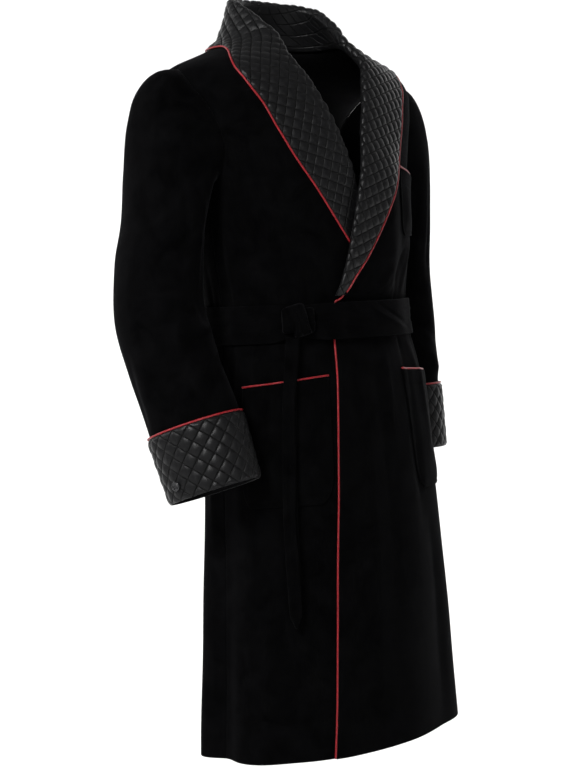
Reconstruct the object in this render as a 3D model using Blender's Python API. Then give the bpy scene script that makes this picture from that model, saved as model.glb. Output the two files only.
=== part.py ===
"""Long velvet smoking jacket, worn shape with no wearer: quilted shawl collar and cuffs, piping, patch pockets, tied belt.

Metres, +Z up. The front faces -Y and the wearer's left is +X. The origin lies midway between the
two points where neck meets shoulder, so the cloth hangs below it.

All cloth is placed on one torso surface by an angle round the body (0 front, 90 wearer's left,
180 back, -90 wearer's right), a height and a distance out of that surface.
"""

import math

import bmesh
import bpy
import numpy as np

# Driving sizes
HEM_Z = -1.083
VELVET = 0.002
SATIN = 0.002
SEAM_GAP = 0.0003
LAY_GAP = 0.0016
POCKET_GAP = 0.0012
CUFF_GAP = 0.0005
FACING_GAP = 0.0020
PIPING_RADIUS = 0.0015
QUILT_HALF_DIAGONAL = 0.0106
QUILT_RISE = 0.0018

# Torso surface. Depth is measured from the side line, and squareness fills out the four corners.
TORSO_COLUMNS = ("z", "half_width", "side_y", "front_y", "back_y", "squareness")
TORSO = (
    (0.090, 0.070, 0.014, -0.030, 0.050, 0.00),
    (0.065, 0.078, 0.012, -0.045, 0.056, 0.00),
    (0.030, 0.096, 0.008, -0.072, 0.070, 0.00),
    (0.001, 0.122, 0.003, -0.088, 0.080, 0.00),
    (-0.016, 0.163, 0.000, -0.098, 0.089, 0.00),
    (-0.031, 0.203, -0.003, -0.108, 0.096, 0.01),
    (-0.044, 0.225, -0.006, -0.114, 0.100, 0.03),
    (-0.065, 0.235, -0.009, -0.123, 0.105, 0.05),
    (-0.100, 0.226, -0.013, -0.136, 0.110, 0.06),
    (-0.150, 0.205, -0.020, -0.148, 0.110, 0.07),
    (-0.205, 0.190, -0.026, -0.156, 0.106, 0.07),
    (-0.300, 0.186, -0.032, -0.160, 0.097, 0.06),
    (-0.430, 0.178, -0.038, -0.152, 0.084, 0.04),
    (-0.520, 0.192, -0.044, -0.168, 0.080, 0.04),
    (-0.640, 0.201, -0.048, -0.182, 0.076, 0.03),
    (-0.740, 0.207, -0.050, -0.190, 0.075, 0.03),
    (-1.083, 0.230, -0.050, -0.197, 0.072, 0.02),
)

# Soft vertical folds of the skirt, deepest at the hem, and short gathers at the belt
FOLD_COLUMNS = ("angle", "half_width", "depth_at_belt", "depth_at_hem")
FOLDS = (
    (-66, 10, 0.001, 0.004),
    (-88, 9, -0.003, -0.009),
    (-110, 11, 0.003, 0.013),
    (-134, 10, -0.004, -0.011),
    (-157, 12, 0.004, 0.012),
    (178, 11, -0.004, -0.011),
    (153, 12, 0.004, 0.013),
    (129, 10, -0.004, -0.010),
    (106, 11, 0.003, 0.011),
    (80, 10, -0.003, -0.010),
    (52, 12, 0.002, 0.008),
    (24, 10, -0.001, -0.005),
)
FOLD_TOP_Z = -0.300

# Collar: one row for each station from the centre back to the break. The wearer's right collar mirrors the angles.
COLLAR_COLUMNS = ("roll_angle", "roll_z", "style_angle", "style_z", "bulge", "facing_share")
COLLAR = (
    (180.0, 0.075, 180.0, -0.005, 0.0090, 0.80),
    (140.0, 0.073, 138.0, -0.005, 0.0090, 0.80),
    (105.0, 0.067, 105.0, -0.004, 0.0090, 0.80),
    (78.0, 0.057, 76.0, -0.007, 0.0090, 0.74),
    (54.0, 0.031, 55.0, -0.026, 0.0085, 0.56),
    (31.0, -0.009, 43.0, -0.056, 0.0080, 0.44),
    (17.5, -0.052, 37.5, -0.096, 0.0075, 0.38),
    (12.5, -0.100, 35.0, -0.140, 0.0070, 0.34),
    (8.0, -0.152, 30.5, -0.185, 0.0060, 0.30),
    (3.0, -0.205, 22.5, -0.232, 0.0050, 0.22),
    (-2.5, -0.262, 12.0, -0.284, 0.0045, 0.12),
    (-7.5, -0.320, 0.5, -0.334, 0.0042, 0.08),
    (-10.8, -0.357, -6.5, -0.361, 0.0040, 0.06),
    (-14.2, -0.390, -12.4, -0.390, 0.0040, 0.05),
)
COLLAR_COLUMNS_ACROSS = 9
FACING_POINTS = 4
PANEL_UNDER_ROLL = 0.14
PIPING_SHARE_LEFT = 0.99
PIPING_SHARE_RIGHT = 0.84
NECK_SEAM_Z = 0.006

# Front edges, as distances across from the centre line towards the wearer's right
FRONT_EDGE_COLUMNS = ("z", "left_over")
FRONT_EDGE = (
    (-0.390, 0.0440),
    (-0.451, 0.0525),
    (-0.563, 0.0670),
    (-0.695, 0.0820),
    (-0.800, 0.0925),
    (-0.903, 0.0995),
    (-1.000, 0.1055),
    (HEM_Z, 0.1130),
)
UNDER_EDGE = 0.050
LAPEL_LIFT = 0.0112
SKIRT_LIFT = 0.0045

# Armholes, as an oval in angle and height round the side line
ARMHOLE_MIDDLE_Z = -0.128
ARMHOLE_HALF_HEIGHT = 0.088
ARMHOLE_FRONT = 26.0
ARMHOLE_BACK = 37.0
ARMHOLE_STEPS = 9

# Sleeves, as sections along the arm: across is sideways, along the body front to back is deep
SLEEVE_COLUMNS = ("x", "y", "z", "half_across", "half_deep", "turned_inward")
SLEEVE_BENT = (
    (0.246, 0.010, -0.270, 0.053, 0.081, 0),
    (0.262, 0.008, -0.335, 0.055, 0.077, 4),
    (0.275, -0.004, -0.405, 0.056, 0.073, 10),
    (0.271, -0.028, -0.475, 0.054, 0.071, 22),
    (0.2655, -0.057, -0.545, 0.050, 0.070, 34),
    (0.2635, -0.068, -0.572, 0.048, 0.071, 40),
    (0.2560, -0.098, -0.666, 0.042, 0.067, 45),
)
SLEEVE_HANGING = (
    (0.244, 0.014, -0.270, 0.052, 0.080, 0),
    (0.252, 0.024, -0.335, 0.053, 0.076, 0),
    (0.259, 0.027, -0.405, 0.055, 0.073, 0),
    (0.262, 0.023, -0.465, 0.055, 0.070, 0),
    (0.263, 0.019, -0.515, 0.055, 0.067, 0),
    (0.263, 0.017, -0.553, 0.055, 0.066, 0),
    (0.264, 0.012, -0.657, 0.056, 0.067, 0),
)
CAP_SHARES = (0.12, 0.28, 0.46, 0.72)
CAP_FULLNESS = {1: 0.75, -1: 0.80}
CAP_RISE = {1: 0.32, -1: 0.50}
CUFF_COLUMNS_ROUND = 36
CUFF_ROWS = 8

# Pockets: angles of the front and side edges, heights of the mouth at each, height of the bottom and lean of the bottom
POCKET_COLUMNS = ("front", "side", "front_z", "side_z", "bottom_z", "lean")
HIP_POCKET = (23.0, 70.0, -0.511, -0.523, -0.700, 3.0)
BREAST_POCKET = (31.5, 65.0, -0.195, -0.217, -0.302, 0.0)
POCKET_CORNER = 0.25
POCKET_ROUND = 0.16

# Belt
BELT_TOP_Z = -0.400
BELT_WIDTH = 0.058
BELT_THICKNESS = 0.003
BELT_GAP = 0.0016
KNOT_ANGLE = -37.0
KNOT_Z = -0.425
KNOT_SIZE = (0.052, 0.026, 0.050)
KNOT_GAP = 0.0009
BELT_END_WIDTH = 0.019
BELT_END_THICKNESS = 0.005
BELT_END_ROWS = ("angle", "z", "out")
BELT_END_LONG = (
    (-41.2, -0.4515, 0.0114),
    (-42.5, -0.490, 0.0114),
    (-45.0, -0.540, 0.0120),
    (-48.0, -0.720, 0.0120),
    (-46.8, -0.820, 0.0108),
    (-46.0, -0.880, 0.0070),
)
BELT_END_SHORT = (
    (-40.2, -0.4515, 0.0054),
    (-41.5, -0.490, 0.0054),
    (-44.0, -0.540, 0.0060),
    (-47.0, -0.720, 0.0060),
    (-45.8, -0.820, 0.0046),
)

# Cuff button
BUTTON_RADIUS = 0.007
BUTTON_THICKNESS = 0.003
BUTTON_TURN = 3.0
BUTTON_UP = 0.20
BUTTON_GAP = 0.0006

# Colours as (red, green, blue), roughness
VELVET_BLACK = ((0.006, 0.006, 0.007), 0.95)
SATIN_BLACK = ((0.020, 0.020, 0.022), 0.38)
PIPING_RED = ((0.42, 0.03, 0.04), 0.45)
BUTTON_BLACK = ((0.010, 0.010, 0.011), 0.30)


def column(table, name, names, at, key):
    """Smooth curve through one named column of a table, read at the given values of its key column."""
    keys = np.array([row[names.index(key)] for row in table], float)
    values = np.array([row[names.index(name)] for row in table], float)
    order = np.argsort(keys)
    keys, values = keys[order], values[order]
    slopes = np.gradient(values, keys)
    at = np.clip(np.asarray(at, float), keys[0], keys[-1])
    low = np.clip(np.searchsorted(keys, at) - 1, 0, len(keys) - 2)
    span = keys[low + 1] - keys[low]
    t = (at - keys[low]) / span
    start = (1 + 2 * t) * (1 - t) ** 2 * values[low] + t * (1 - t) ** 2 * span * slopes[low]
    end = t * t * (3 - 2 * t) * values[low + 1] + t * t * (t - 1) * span * slopes[low + 1]
    return start + end


def along(table, names, name, share):
    """Smooth curve through one column of a table, read by share of its rows from 0 to 1."""
    rows = [(i / (len(table) - 1), row[names.index(name)]) for i, row in enumerate(table)]
    return column(rows, "value", ("share", "value"), share, "share")


def smooth(value, low, high):
    t = np.clip((np.asarray(value, float) - low) / (high - low), 0, 1)
    return t * t * (3 - 2 * t)


def wrapped(angle):
    return (np.asarray(angle, float) + 180.0) % 360.0 - 180.0


def fold_depth(angle, z):
    """How far the folds of the skirt stand out of the torso surface."""
    down = smooth(-z, -FOLD_TOP_Z, 0.47)
    to_hem = smooth(-z, 0.50, -HEM_Z)
    total = np.zeros(np.broadcast(angle, z).shape)
    for fold_angle, half_width, at_belt, at_hem in FOLDS:
        ridge = np.exp(-((wrapped(angle - fold_angle) / half_width) ** 2))
        total = total + ridge * down * (at_belt + (at_hem - at_belt) * to_hem)
    return total


def torso_base(angle, z):
    angle, z = np.broadcast_arrays(np.asarray(angle, float), np.asarray(z, float))
    turn = np.radians(angle)
    half, side, front, back, square = (
        column(TORSO, name, TORSO_COLUMNS, z, "z") for name in TORSO_COLUMNS[1:]
    )
    swell = 1 + square * np.sin(2 * turn) ** 2
    depth = np.where(np.cos(turn) > 0, side - front, back - side)
    out = 1 + fold_depth(angle, z) / 0.19
    x = half * np.sin(turn) * swell * out
    y = side - depth * np.cos(turn) * swell * out
    return np.stack([x, y, z], axis=-1)


def torso(angle, z, out=0.0):
    """Point of the torso surface, moved out along its normal."""
    angle, z, out = np.broadcast_arrays(
        np.asarray(angle, float), np.asarray(z, float), np.asarray(out, float)
    )
    step_angle, step_z = 0.5, 0.002
    across = torso_base(angle + step_angle, z) - torso_base(angle - step_angle, z)
    up = torso_base(angle, z + step_z) - torso_base(angle, z - step_z)
    normal = np.cross(across, up)
    normal /= np.linalg.norm(normal, axis=-1, keepdims=True)
    return torso_base(angle, z) + normal * out[..., None]


def angle_at(across, z):
    """Angle on the front of the torso that lies the given distance across from the centre line."""
    half = column(TORSO, "half_width", TORSO_COLUMNS, z, "z")
    return np.degrees(np.arcsin(np.clip(across / half, -1, 1)))


def left_lift(angle, z):
    """How far the wearer's left front stands out where it laps over the right one."""
    lapped = 1 - smooth(angle, 20.0, 36.0)
    height = LAPEL_LIFT + (SKIRT_LIFT - LAPEL_LIFT) * smooth(-np.asarray(z), 0.372, 0.402)
    return lapped * height * smooth(-np.asarray(z), 0.13, 0.22)


def collar_line(share_along, share_across):
    """Angle and height on the collar: 0 to 1 from centre back to break, and 0 to 1 from style line to roll line."""
    read = lambda name: along(COLLAR, COLLAR_COLUMNS, name, share_along)
    angle = read("style_angle") + (read("roll_angle") - read("style_angle")) * share_across
    z = read("style_z") + (read("roll_z") - read("style_z")) * share_across
    return angle, z


def neckline_angle(z):
    """Angle of a front panel's inner edge, under the lapel's roll."""
    shares = np.linspace(0.15, 1, 120)
    angles, heights = collar_line(shares, 1 - PANEL_UNDER_ROLL)
    order = np.argsort(heights)
    return np.interp(z, heights[order], angles[order])


def armhole(turn_degrees, shrink=0.0):
    """Angle and height of a point on the left armhole: 0 at the shoulder, 90 front, 180 underarm, 270 back."""
    turn = np.radians(turn_degrees)
    reach = np.where(np.sin(turn) >= 0, ARMHOLE_FRONT, ARMHOLE_BACK)
    angle = 90.0 - np.sin(turn) * (reach - math.degrees(shrink / 0.2))
    z = ARMHOLE_MIDDLE_Z + np.cos(turn) * (ARMHOLE_HALF_HEIGHT - shrink)
    return angle, z


def panel_heights():
    """Heights of the rows that every panel shares, from the neck seam to the hem."""
    shoulder = [NECK_SEAM_Z, -0.001, -0.007, -0.013, -0.019, -0.025, -0.032]
    _, armhole_z = armhole(np.linspace(0, 180, ARMHOLE_STEPS + 1))
    chest = [-0.255, -0.305, -0.350, -0.390, -0.420, -0.450]
    skirt = list(np.linspace(-0.500, HEM_Z, 9))
    return np.array(shoulder + list(armhole_z) + chest + skirt)


def armhole_angle(z, reach):
    """Angle between the side line and the armhole's edge at a height."""
    level = np.clip((z - ARMHOLE_MIDDLE_Z) / ARMHOLE_HALF_HEIGHT, -1, 1)
    return reach * np.sqrt(1 - level**2)


def new_object(name, vertices, faces, finish, smooth_shade=True):
    mesh = bpy.data.meshes.new(name)
    mesh.from_pydata([tuple(v) for v in vertices], [], faces)
    work = bmesh.new()
    work.from_mesh(mesh)
    bmesh.ops.recalc_face_normals(work, faces=work.faces)
    work.to_mesh(mesh)
    work.free()
    if smooth_shade:
        mesh.shade_smooth()
        mesh.set_sharp_from_angle(angle=math.radians(40))
    obj = bpy.data.objects.new(name, mesh)
    bpy.context.scene.collection.objects.link(obj)
    mesh.materials.append(material(name, *finish))
    return obj


def material(name, colour, roughness):
    made = bpy.data.materials.new(name)
    made.use_nodes = True
    shader = made.node_tree.nodes["Principled BSDF"]
    shader.inputs["Base Color"].default_value = (*colour, 1.0)
    shader.inputs["Roughness"].default_value = roughness
    shader.inputs["Metallic"].default_value = 0.0
    return made


def stitch(faces, fine, coarse):
    """Rim between two vertex chains along the same edge, where the fine one has a whole number of steps to each coarse one."""
    step = (len(fine) - 1) // (len(coarse) - 1)
    for i in range(len(coarse) - 1):
        run = fine[i * step : (i + 1) * step + 1]
        if step == 1:
            faces.append((run[0], run[1], coarse[i + 1], coarse[i]))
            continue
        middle = step // 2
        for j in range(step):
            faces.append((run[j], run[j + 1], coarse[i] if j < middle else coarse[i + 1]))
        faces.append((run[middle], coarse[i + 1], coarse[i]))


def wall(name, outer, inner, finish, closed=False, quilted=False):
    """Closed solid between an outer and an inner grid of points. A closed one runs round a tube by columns."""
    rows, cols = outer.shape[:2]
    in_rows, in_cols = inner.shape[:2]
    vertices = np.concatenate([outer.reshape(-1, 3), inner.reshape(-1, 3)])
    start = rows * cols
    faces = []
    turns = cols if closed else cols - 1
    for i in range(rows - 1):
        for j in range(turns):
            k = (j + 1) % cols
            a, b, c, d = i * cols + j, i * cols + k, (i + 1) * cols + k, (i + 1) * cols + j
            if not quilted:
                faces.append((a, b, c, d))
            elif (i + j) % 2 == 0:
                faces += [(a, b, c), (a, c, d)]
            else:
                faces += [(a, b, d), (b, c, d)]
    in_turns = in_cols if closed else in_cols - 1
    for i in range(in_rows - 1):
        for j in range(in_turns):
            k = (j + 1) % in_cols
            a, b = start + i * in_cols + j, start + i * in_cols + k
            c, d = start + (i + 1) * in_cols + k, start + (i + 1) * in_cols + j
            faces.append((d, c, b, a))
    wrap, in_wrap = ([0], [0]) if closed else ([], [])
    for row, in_row in ((0, 0), (rows - 1, in_rows - 1)):
        fine = [row * cols + j for j in list(range(cols)) + wrap]
        coarse = [start + in_row * in_cols + j for j in list(range(in_cols)) + in_wrap]
        stitch(faces, fine, coarse)
    if not closed:
        for col, in_col in ((0, 0), (cols - 1, in_cols - 1)):
            fine = [i * cols + col for i in range(rows)]
            coarse = [start + i * in_cols + in_col for i in range(in_rows)]
            stitch(faces, fine, coarse)
    return new_object(name, vertices, faces, finish)


def cord(name, points, radius, finish, sides=5):
    """Round tube with flat ends through the points."""
    points = np.asarray(points, float)
    tangents = np.gradient(points, axis=0)
    tangents /= np.linalg.norm(tangents, axis=1, keepdims=True)
    guide = np.array([0.0, 0.0, 1.0]) if abs(tangents[0][2]) < 0.8 else np.array([1.0, 0.0, 0.0])
    vertices = []
    for point, tangent in zip(points, tangents):
        guide = guide - tangent * guide.dot(tangent)
        guide /= np.linalg.norm(guide)
        other = np.cross(tangent, guide)
        for i in range(sides):
            turn = 2 * math.pi * i / sides
            vertices.append(point + radius * (math.cos(turn) * guide + math.sin(turn) * other))
    faces = []
    for i in range(len(points) - 1):
        for j in range(sides):
            k = (j + 1) % sides
            faces.append((i * sides + j, i * sides + k, (i + 1) * sides + k, (i + 1) * sides + j))
    faces.append(tuple(range(sides)))
    faces.append(tuple((len(points) - 1) * sides + j for j in range(sides)))
    return new_object(name, vertices, faces, finish)


def evenly(points, step):
    """The same path with a point every step along it."""
    points = np.asarray(points, float)
    run = np.concatenate([[0], np.cumsum(np.linalg.norm(np.diff(points, axis=0), axis=1))])
    count = max(2, int(round(run[-1] / step)) + 1)
    at = np.linspace(0, run[-1], count)
    return np.stack([np.interp(at, run, points[:, k]) for k in range(3)], axis=1)


def mirrored(points, side):
    return points * np.array([side, 1.0, 1.0])


def make_back():
    heights = panel_heights()
    shares = np.linspace(0, 1, 19)
    seam = math.degrees(SEAM_GAP / 2 / 0.2)
    edge = 90.0 + seam + armhole_angle(heights, ARMHOLE_BACK)
    angles = edge[:, None] + (360.0 - 2 * edge[:, None]) * shares[None, :]
    z = np.repeat(heights[:, None], len(shares), axis=1)
    wall("back", torso(angles, z), torso(angles, z, -VELVET), VELVET_BLACK)


def front_angles(heights, inner_edge):
    seam = math.degrees(SEAM_GAP / 2 / 0.2)
    outer_edge = 90.0 - seam - armhole_angle(heights, ARMHOLE_FRONT)
    shares = np.linspace(0, 1, 11)
    return outer_edge[:, None] + (inner_edge - outer_edge)[:, None] * shares[None, :]


def make_front_right():
    """The under front. It runs below the left one, past the centre line."""
    heights = panel_heights()
    under = angle_at(-UNDER_EDGE, heights)
    inner_edge = np.maximum(neckline_angle(heights), under)
    angles = -front_angles(heights, inner_edge)
    z = np.repeat(heights[:, None], angles.shape[1], axis=1)
    wall("front_right", torso(angles, z), torso(angles, z, -VELVET), VELVET_BLACK)


def left_edge_angle(z):
    across = column(FRONT_EDGE, "left_over", FRONT_EDGE_COLUMNS, z, "z")
    return np.where(np.asarray(z) < FRONT_EDGE[0][0], angle_at(-across, z), neckline_angle(z))


def make_front_left():
    """The over front, lifted where it laps over the right one."""
    heights = panel_heights()
    angles = front_angles(heights, left_edge_angle(heights))
    z = np.repeat(heights[:, None], angles.shape[1], axis=1)
    lift = left_lift(angles, z)
    wall("front_left", torso(angles, z, lift), torso(angles, z, lift - VELVET), VELVET_BLACK)


def collar_stations():
    """Shares along the collar, one quilt step apart on its middle line."""
    shares = np.linspace(0, 1, 400)
    angle, z = collar_line(shares, 0.5)
    path = torso(angle, z)
    run = np.concatenate([[0], np.cumsum(np.linalg.norm(np.diff(path, axis=0), axis=1))])
    count = 2 * int(round(run[-1] / QUILT_HALF_DIAGONAL / 2)) + 1
    return np.interp(np.linspace(0, run[-1], count), run, shares)


def covered(angle, z):
    """1 where the wearer's left lapel lies over a point of the right one, 0 well clear of it."""
    shares = np.linspace(0.3, 1, 80)
    roll_angles, heights = collar_line(shares, 1.0)
    order = np.argsort(heights)
    left_roll = np.interp(z, heights[order], roll_angles[order])
    return smooth(angle - left_roll, -6.0, -2.0) * smooth(-z, 0.17, 0.20)


def collar_surface(share_along, side, skin):
    """Section of the collar at one station, from the style line over the roll to the end of the facing.

    skin is 0 for the face that shows and 1 for the face that lies against the front panel.
    Returns the fall, the fall at full quilt height, and the roll with the facing.
    """
    bulge = float(along(COLLAR, COLLAR_COLUMNS, "bulge", share_along))
    facing = float(along(COLLAR, COLLAR_COLUMNS, "facing_share", share_along))
    across = np.linspace(0, 1, COLLAR_COLUMNS_ACROSS)
    angle, z = collar_line(share_along, across)
    width = np.linalg.norm(torso(angle[-1], z[-1]) - torso(angle[0], z[0]))
    flat = LAY_GAP + SATIN
    puffed = np.ones_like(angle) if side > 0 else 1 - covered(-angle, z)
    height = flat + (bulge - flat) * smooth(across, 0.2, 1.0) * puffed
    inside = -VELVET - FACING_GAP - SATIN
    lift = left_lift(angle, z) if side > 0 else np.zeros_like(angle)
    rise = QUILT_RISE * min(1.0, width / 0.03) * puffed
    fall = torso(angle, z, lift + height - skin * SATIN)
    raised = torso(angle, z, lift + height + rise)
    roll = torso(angle[-1], z[-1])
    out = torso(angle[-1], z[-1], 1.0) - roll
    onward = torso(angle[-1], z[-1]) - torso(angle[-2], z[-2])
    onward -= out * onward.dot(out)
    onward /= np.linalg.norm(onward)
    middle = (height[-1] + inside) / 2 + lift[-1]
    radius = (height[-1] - inside) / 2 - skin * SATIN
    turn = np.radians(np.array([60.0, 120.0]))
    bend = roll + out * (middle + radius * np.cos(turn))[:, None] + onward * (radius * np.sin(turn))[:, None]
    back_share = 1 - np.linspace(0.02, max(facing, 0.03), FACING_POINTS)
    back_angle, back_z = collar_line(share_along, back_share)
    back_lift = left_lift(back_angle, back_z) if side > 0 else 0.0
    back = torso(back_angle, back_z, back_lift + inside + skin * SATIN)
    return fall, raised, np.concatenate([bend, back])


def make_collar(name, side):
    stations = collar_stations()
    outer, inner = [], []
    for i, share in enumerate(stations):
        fall, raised, rest = collar_surface(share, side, 0)
        inside_edge = i in (0, len(stations) - 1)
        lifted = [
            raised[j] if (i + j) % 2 == 1 and not inside_edge and 0 < j < len(fall) - 1 else fall[j]
            for j in range(len(fall))
        ]
        outer.append(np.concatenate([lifted, rest]))
        if i % 2 == 0:
            under, _, under_rest = collar_surface(share, side, 1)
            both = np.concatenate([under, under_rest])
            inner.append(both[::2])
    outer = mirrored(np.array(outer), side)
    inner = mirrored(np.array(inner), side)
    outer[0, :, 0] += side * SEAM_GAP / 2
    inner[0, :, 0] += side * SEAM_GAP / 2
    wall(name, outer, inner, SATIN_BLACK, quilted=True)


def sleeve_frames(table):
    """Centre, sideways and forward axes of each section of a sleeve."""
    centres = np.array([row[:3] for row in table])
    tangents = np.gradient(centres, axis=0)
    tangents[-1] = centres[-1] - centres[-2]
    tangents[-2] = tangents[-1]
    tangents /= np.linalg.norm(tangents, axis=1, keepdims=True)
    sideways = np.array([1.0, 0.0, 0.0]) - tangents * tangents[:, :1]
    sideways /= np.linalg.norm(sideways, axis=1, keepdims=True)
    forward = np.cross(tangents, sideways)
    return centres, tangents, sideways, forward


def sleeve_sections(table, turns, out=0.0):
    """Rings of points round the sleeve, one for each section of the table."""
    centres, _, sideways, forward = sleeve_frames(table)
    rings = []
    for row, centre, side_axis, front_axis in zip(table, centres, sideways, forward):
        half_across, half_deep, turned = row[3] + out, row[4] + out, math.radians(row[5])
        along_short = half_across * np.cos(turns - turned)
        along_long = half_deep * np.sin(turns - turned)
        across = along_short * math.cos(turned) - along_long * math.sin(turned)
        deep = along_short * math.sin(turned) + along_long * math.cos(turned)
        rings.append(centre + across[:, None] * side_axis + deep[:, None] * front_axis)
    return np.array(rings)


def cap_leave(top, side):
    """Direction and strength with which the sleeve head leaves the armhole; top is 1 at the shoulder."""
    direction = np.stack([0.80 + 0.20 * top, 0 * top, -0.42 + CAP_RISE[side] * top], axis=1)
    return direction * (0.45 + CAP_FULLNESS[side] * top[:, None])


def sleeve_cap(first_ring, table, turns_degrees, side):
    """Rings that turn from the armhole down into the first section of the arm."""
    angle, z = armhole(turns_degrees, SEAM_GAP)
    start = torso(angle, z)
    tangents = sleeve_frames(table)[1]
    top = (1 + np.cos(np.radians(turns_degrees))) / 2
    leave = cap_leave(top, side)
    reach = np.linalg.norm(first_ring - start, axis=1)[:, None]
    rings = [start]
    for t in CAP_SHARES:
        blend = (
            (1 + 2 * t) * (1 - t) ** 2 * start
            + t * (1 - t) ** 2 * leave * reach
            + t * t * (3 - 2 * t) * first_ring
            + t * t * (t - 1) * tangents[0] * reach
        )
        rings.append(blend)
    return np.array(rings)


def grid_normals(grid):
    """Outward normals of a tube given as rings from top to bottom."""
    down = np.gradient(grid, axis=0)
    round_it = np.roll(grid, -1, axis=1) - np.roll(grid, 1, axis=1)
    normals = np.cross(down, round_it)
    normals /= np.linalg.norm(normals, axis=-1, keepdims=True)
    centre = grid.mean(axis=1, keepdims=True)
    inward = ((grid - centre) * normals).sum() < 0
    return -normals if inward else normals


def make_sleeve(name, table, side):
    turns_degrees = np.arange(0, 360, 180 / ARMHOLE_STEPS)
    sections = sleeve_sections(table, np.radians(turns_degrees))
    cap = sleeve_cap(sections[0], table, turns_degrees, side)
    outer = np.concatenate([cap, sections])
    inner = outer - VELVET * grid_normals(outer)
    wall(name, mirrored(outer, side), mirrored(inner, side), VELVET_BLACK, closed=True)


def cuff_rings(table, columns, rows, out):
    """Rings of the turned-back cuff between the last two sections of the arm."""
    turns = np.linspace(0, 2 * np.pi, columns, endpoint=False)
    top, bottom = sleeve_sections(table, turns, out)[-2:]
    past_end = (bottom - top) / np.linalg.norm(bottom - top, axis=1, keepdims=True) * 0.002
    shares = np.linspace(0, 1, rows)[:, None, None]
    return top + (bottom + past_end - top) * shares


def make_cuff(name, table, side):
    outer = cuff_rings(table, CUFF_COLUMNS_ROUND, CUFF_ROWS + 1, CUFF_GAP + SATIN)
    raised = cuff_rings(table, CUFF_COLUMNS_ROUND, CUFF_ROWS + 1, CUFF_GAP + SATIN + QUILT_RISE)
    for i in range(1, CUFF_ROWS):
        for j in range(CUFF_COLUMNS_ROUND):
            if (i + j) % 2 == 1:
                outer[i, j] = raised[i, j]
    inner = cuff_rings(table, CUFF_COLUMNS_ROUND // 2, CUFF_ROWS // 2 + 1, CUFF_GAP)
    wall(name, mirrored(outer, side), mirrored(inner, side), SATIN_BLACK, closed=True, quilted=True)


def make_cuff_piping(name, table, side):
    """Ring of piping on the upper edge of the cuff."""
    turns = np.linspace(0, 2 * np.pi, 18, endpoint=False)
    out = CUFF_GAP + PIPING_RADIUS + SEAM_GAP
    top, bottom = sleeve_sections(table, turns, out)[-2:]
    up = (top - bottom) / np.linalg.norm(top - bottom, axis=1, keepdims=True)
    path = top + up * (PIPING_RADIUS + SEAM_GAP)
    centre = path.mean(axis=0)
    sides = 6
    vertices = []
    for point, axis in zip(path, up):
        outward = point - centre
        outward -= axis * outward.dot(axis)
        outward /= np.linalg.norm(outward)
        for i in range(sides):
            turn = 2 * math.pi * i / sides
            vertices.append(point + PIPING_RADIUS * (math.cos(turn) * outward + math.sin(turn) * axis))
    vertices = mirrored(np.array(vertices), side)
    faces = []
    count = len(path)
    for i in range(count):
        for j in range(sides):
            k, n = (j + 1) % sides, (i + 1) % count
            faces.append((i * sides + j, i * sides + k, n * sides + k, n * sides + j))
    new_object(name, vertices, faces, PIPING_RED)


def make_button(name, table, side):
    """Flat round button near the lower back corner of the cuff."""
    turns = np.radians(BUTTON_TURN + np.array([-2.0, 0.0, 2.0]))
    top, bottom = sleeve_sections(table, turns, CUFF_GAP + SATIN + QUILT_RISE + BUTTON_GAP)[-2:]
    ring = bottom + (top - bottom) * BUTTON_UP
    upward = top[1] - bottom[1]
    upward /= np.linalg.norm(upward)
    outward = np.cross(ring[2] - ring[0], upward)
    outward /= np.linalg.norm(outward)
    if outward.dot(ring[1] - (np.array(table[-1][:3]) + np.array(table[-2][:3])) / 2) < 0:
        outward = -outward
    across = np.cross(outward, upward)
    sides = 16
    vertices = []
    for height, share in ((0.0, 1.0), (0.7, 1.0), (1.0, 0.8)):
        for i in range(sides):
            angle = 2 * math.pi * i / sides
            radial = math.cos(angle) * across + math.sin(angle) * upward
            vertices.append(ring[1] + outward * BUTTON_THICKNESS * height + radial * BUTTON_RADIUS * share)
    vertices = mirrored(np.array(vertices), side)
    faces = [tuple(range(sides)), tuple(range(2 * sides, 3 * sides))]
    for row in range(2):
        for i in range(sides):
            k = (i + 1) % sides
            faces.append((row * sides + i, row * sides + k, (row + 1) * sides + k, (row + 1) * sides + i))
    new_object(name, vertices, faces, BUTTON_BLACK)


def pocket_grid(size, side, lifted, down, shares, out):
    """Points of a pocket by share down it and share across it, moved out of the front panel."""
    front, back, front_z, side_z, bottom_z, lean = size
    down, shares = np.meshgrid(down, shares, indexing="ij")
    low = np.clip((down - (1 - POCKET_CORNER)) / POCKET_CORNER, 0, 1)
    inset = POCKET_ROUND * (1 - np.sqrt(1 - low**2 * 0.96))
    across = 0.5 + (shares - 0.5) * (1 - 2 * inset)
    angles = front + (back - front) * across + lean * down
    mouth = front_z + (side_z - front_z) * across
    z = mouth + (bottom_z - mouth) * down
    lift = left_lift(angles, z) if lifted else 0.0
    return torso(angles * side, z, lift + out)


def make_pocket(name, size, side, lifted, columns=7, rows=7):
    """Patch pocket with rounded lower corners, lying on its front panel."""
    down, shares = np.linspace(0, 1, rows), np.linspace(0, 1, columns)
    outer = pocket_grid(size, side, lifted, down, shares, POCKET_GAP + VELVET)
    inner = pocket_grid(size, side, lifted, down, shares, POCKET_GAP)
    wall(name, outer, inner, VELVET_BLACK)


def make_pocket_piping(name, size, side, lifted):
    """Piping along the mouth of a pocket."""
    mouth = pocket_grid(size, side, lifted, (0.0,), np.linspace(0, 1, 7), POCKET_GAP + VELVET / 2 + 0.0005)[0]
    cord(name, mouth + np.array([0, 0, PIPING_RADIUS + SEAM_GAP]), PIPING_RADIUS, PIPING_RED)


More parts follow.
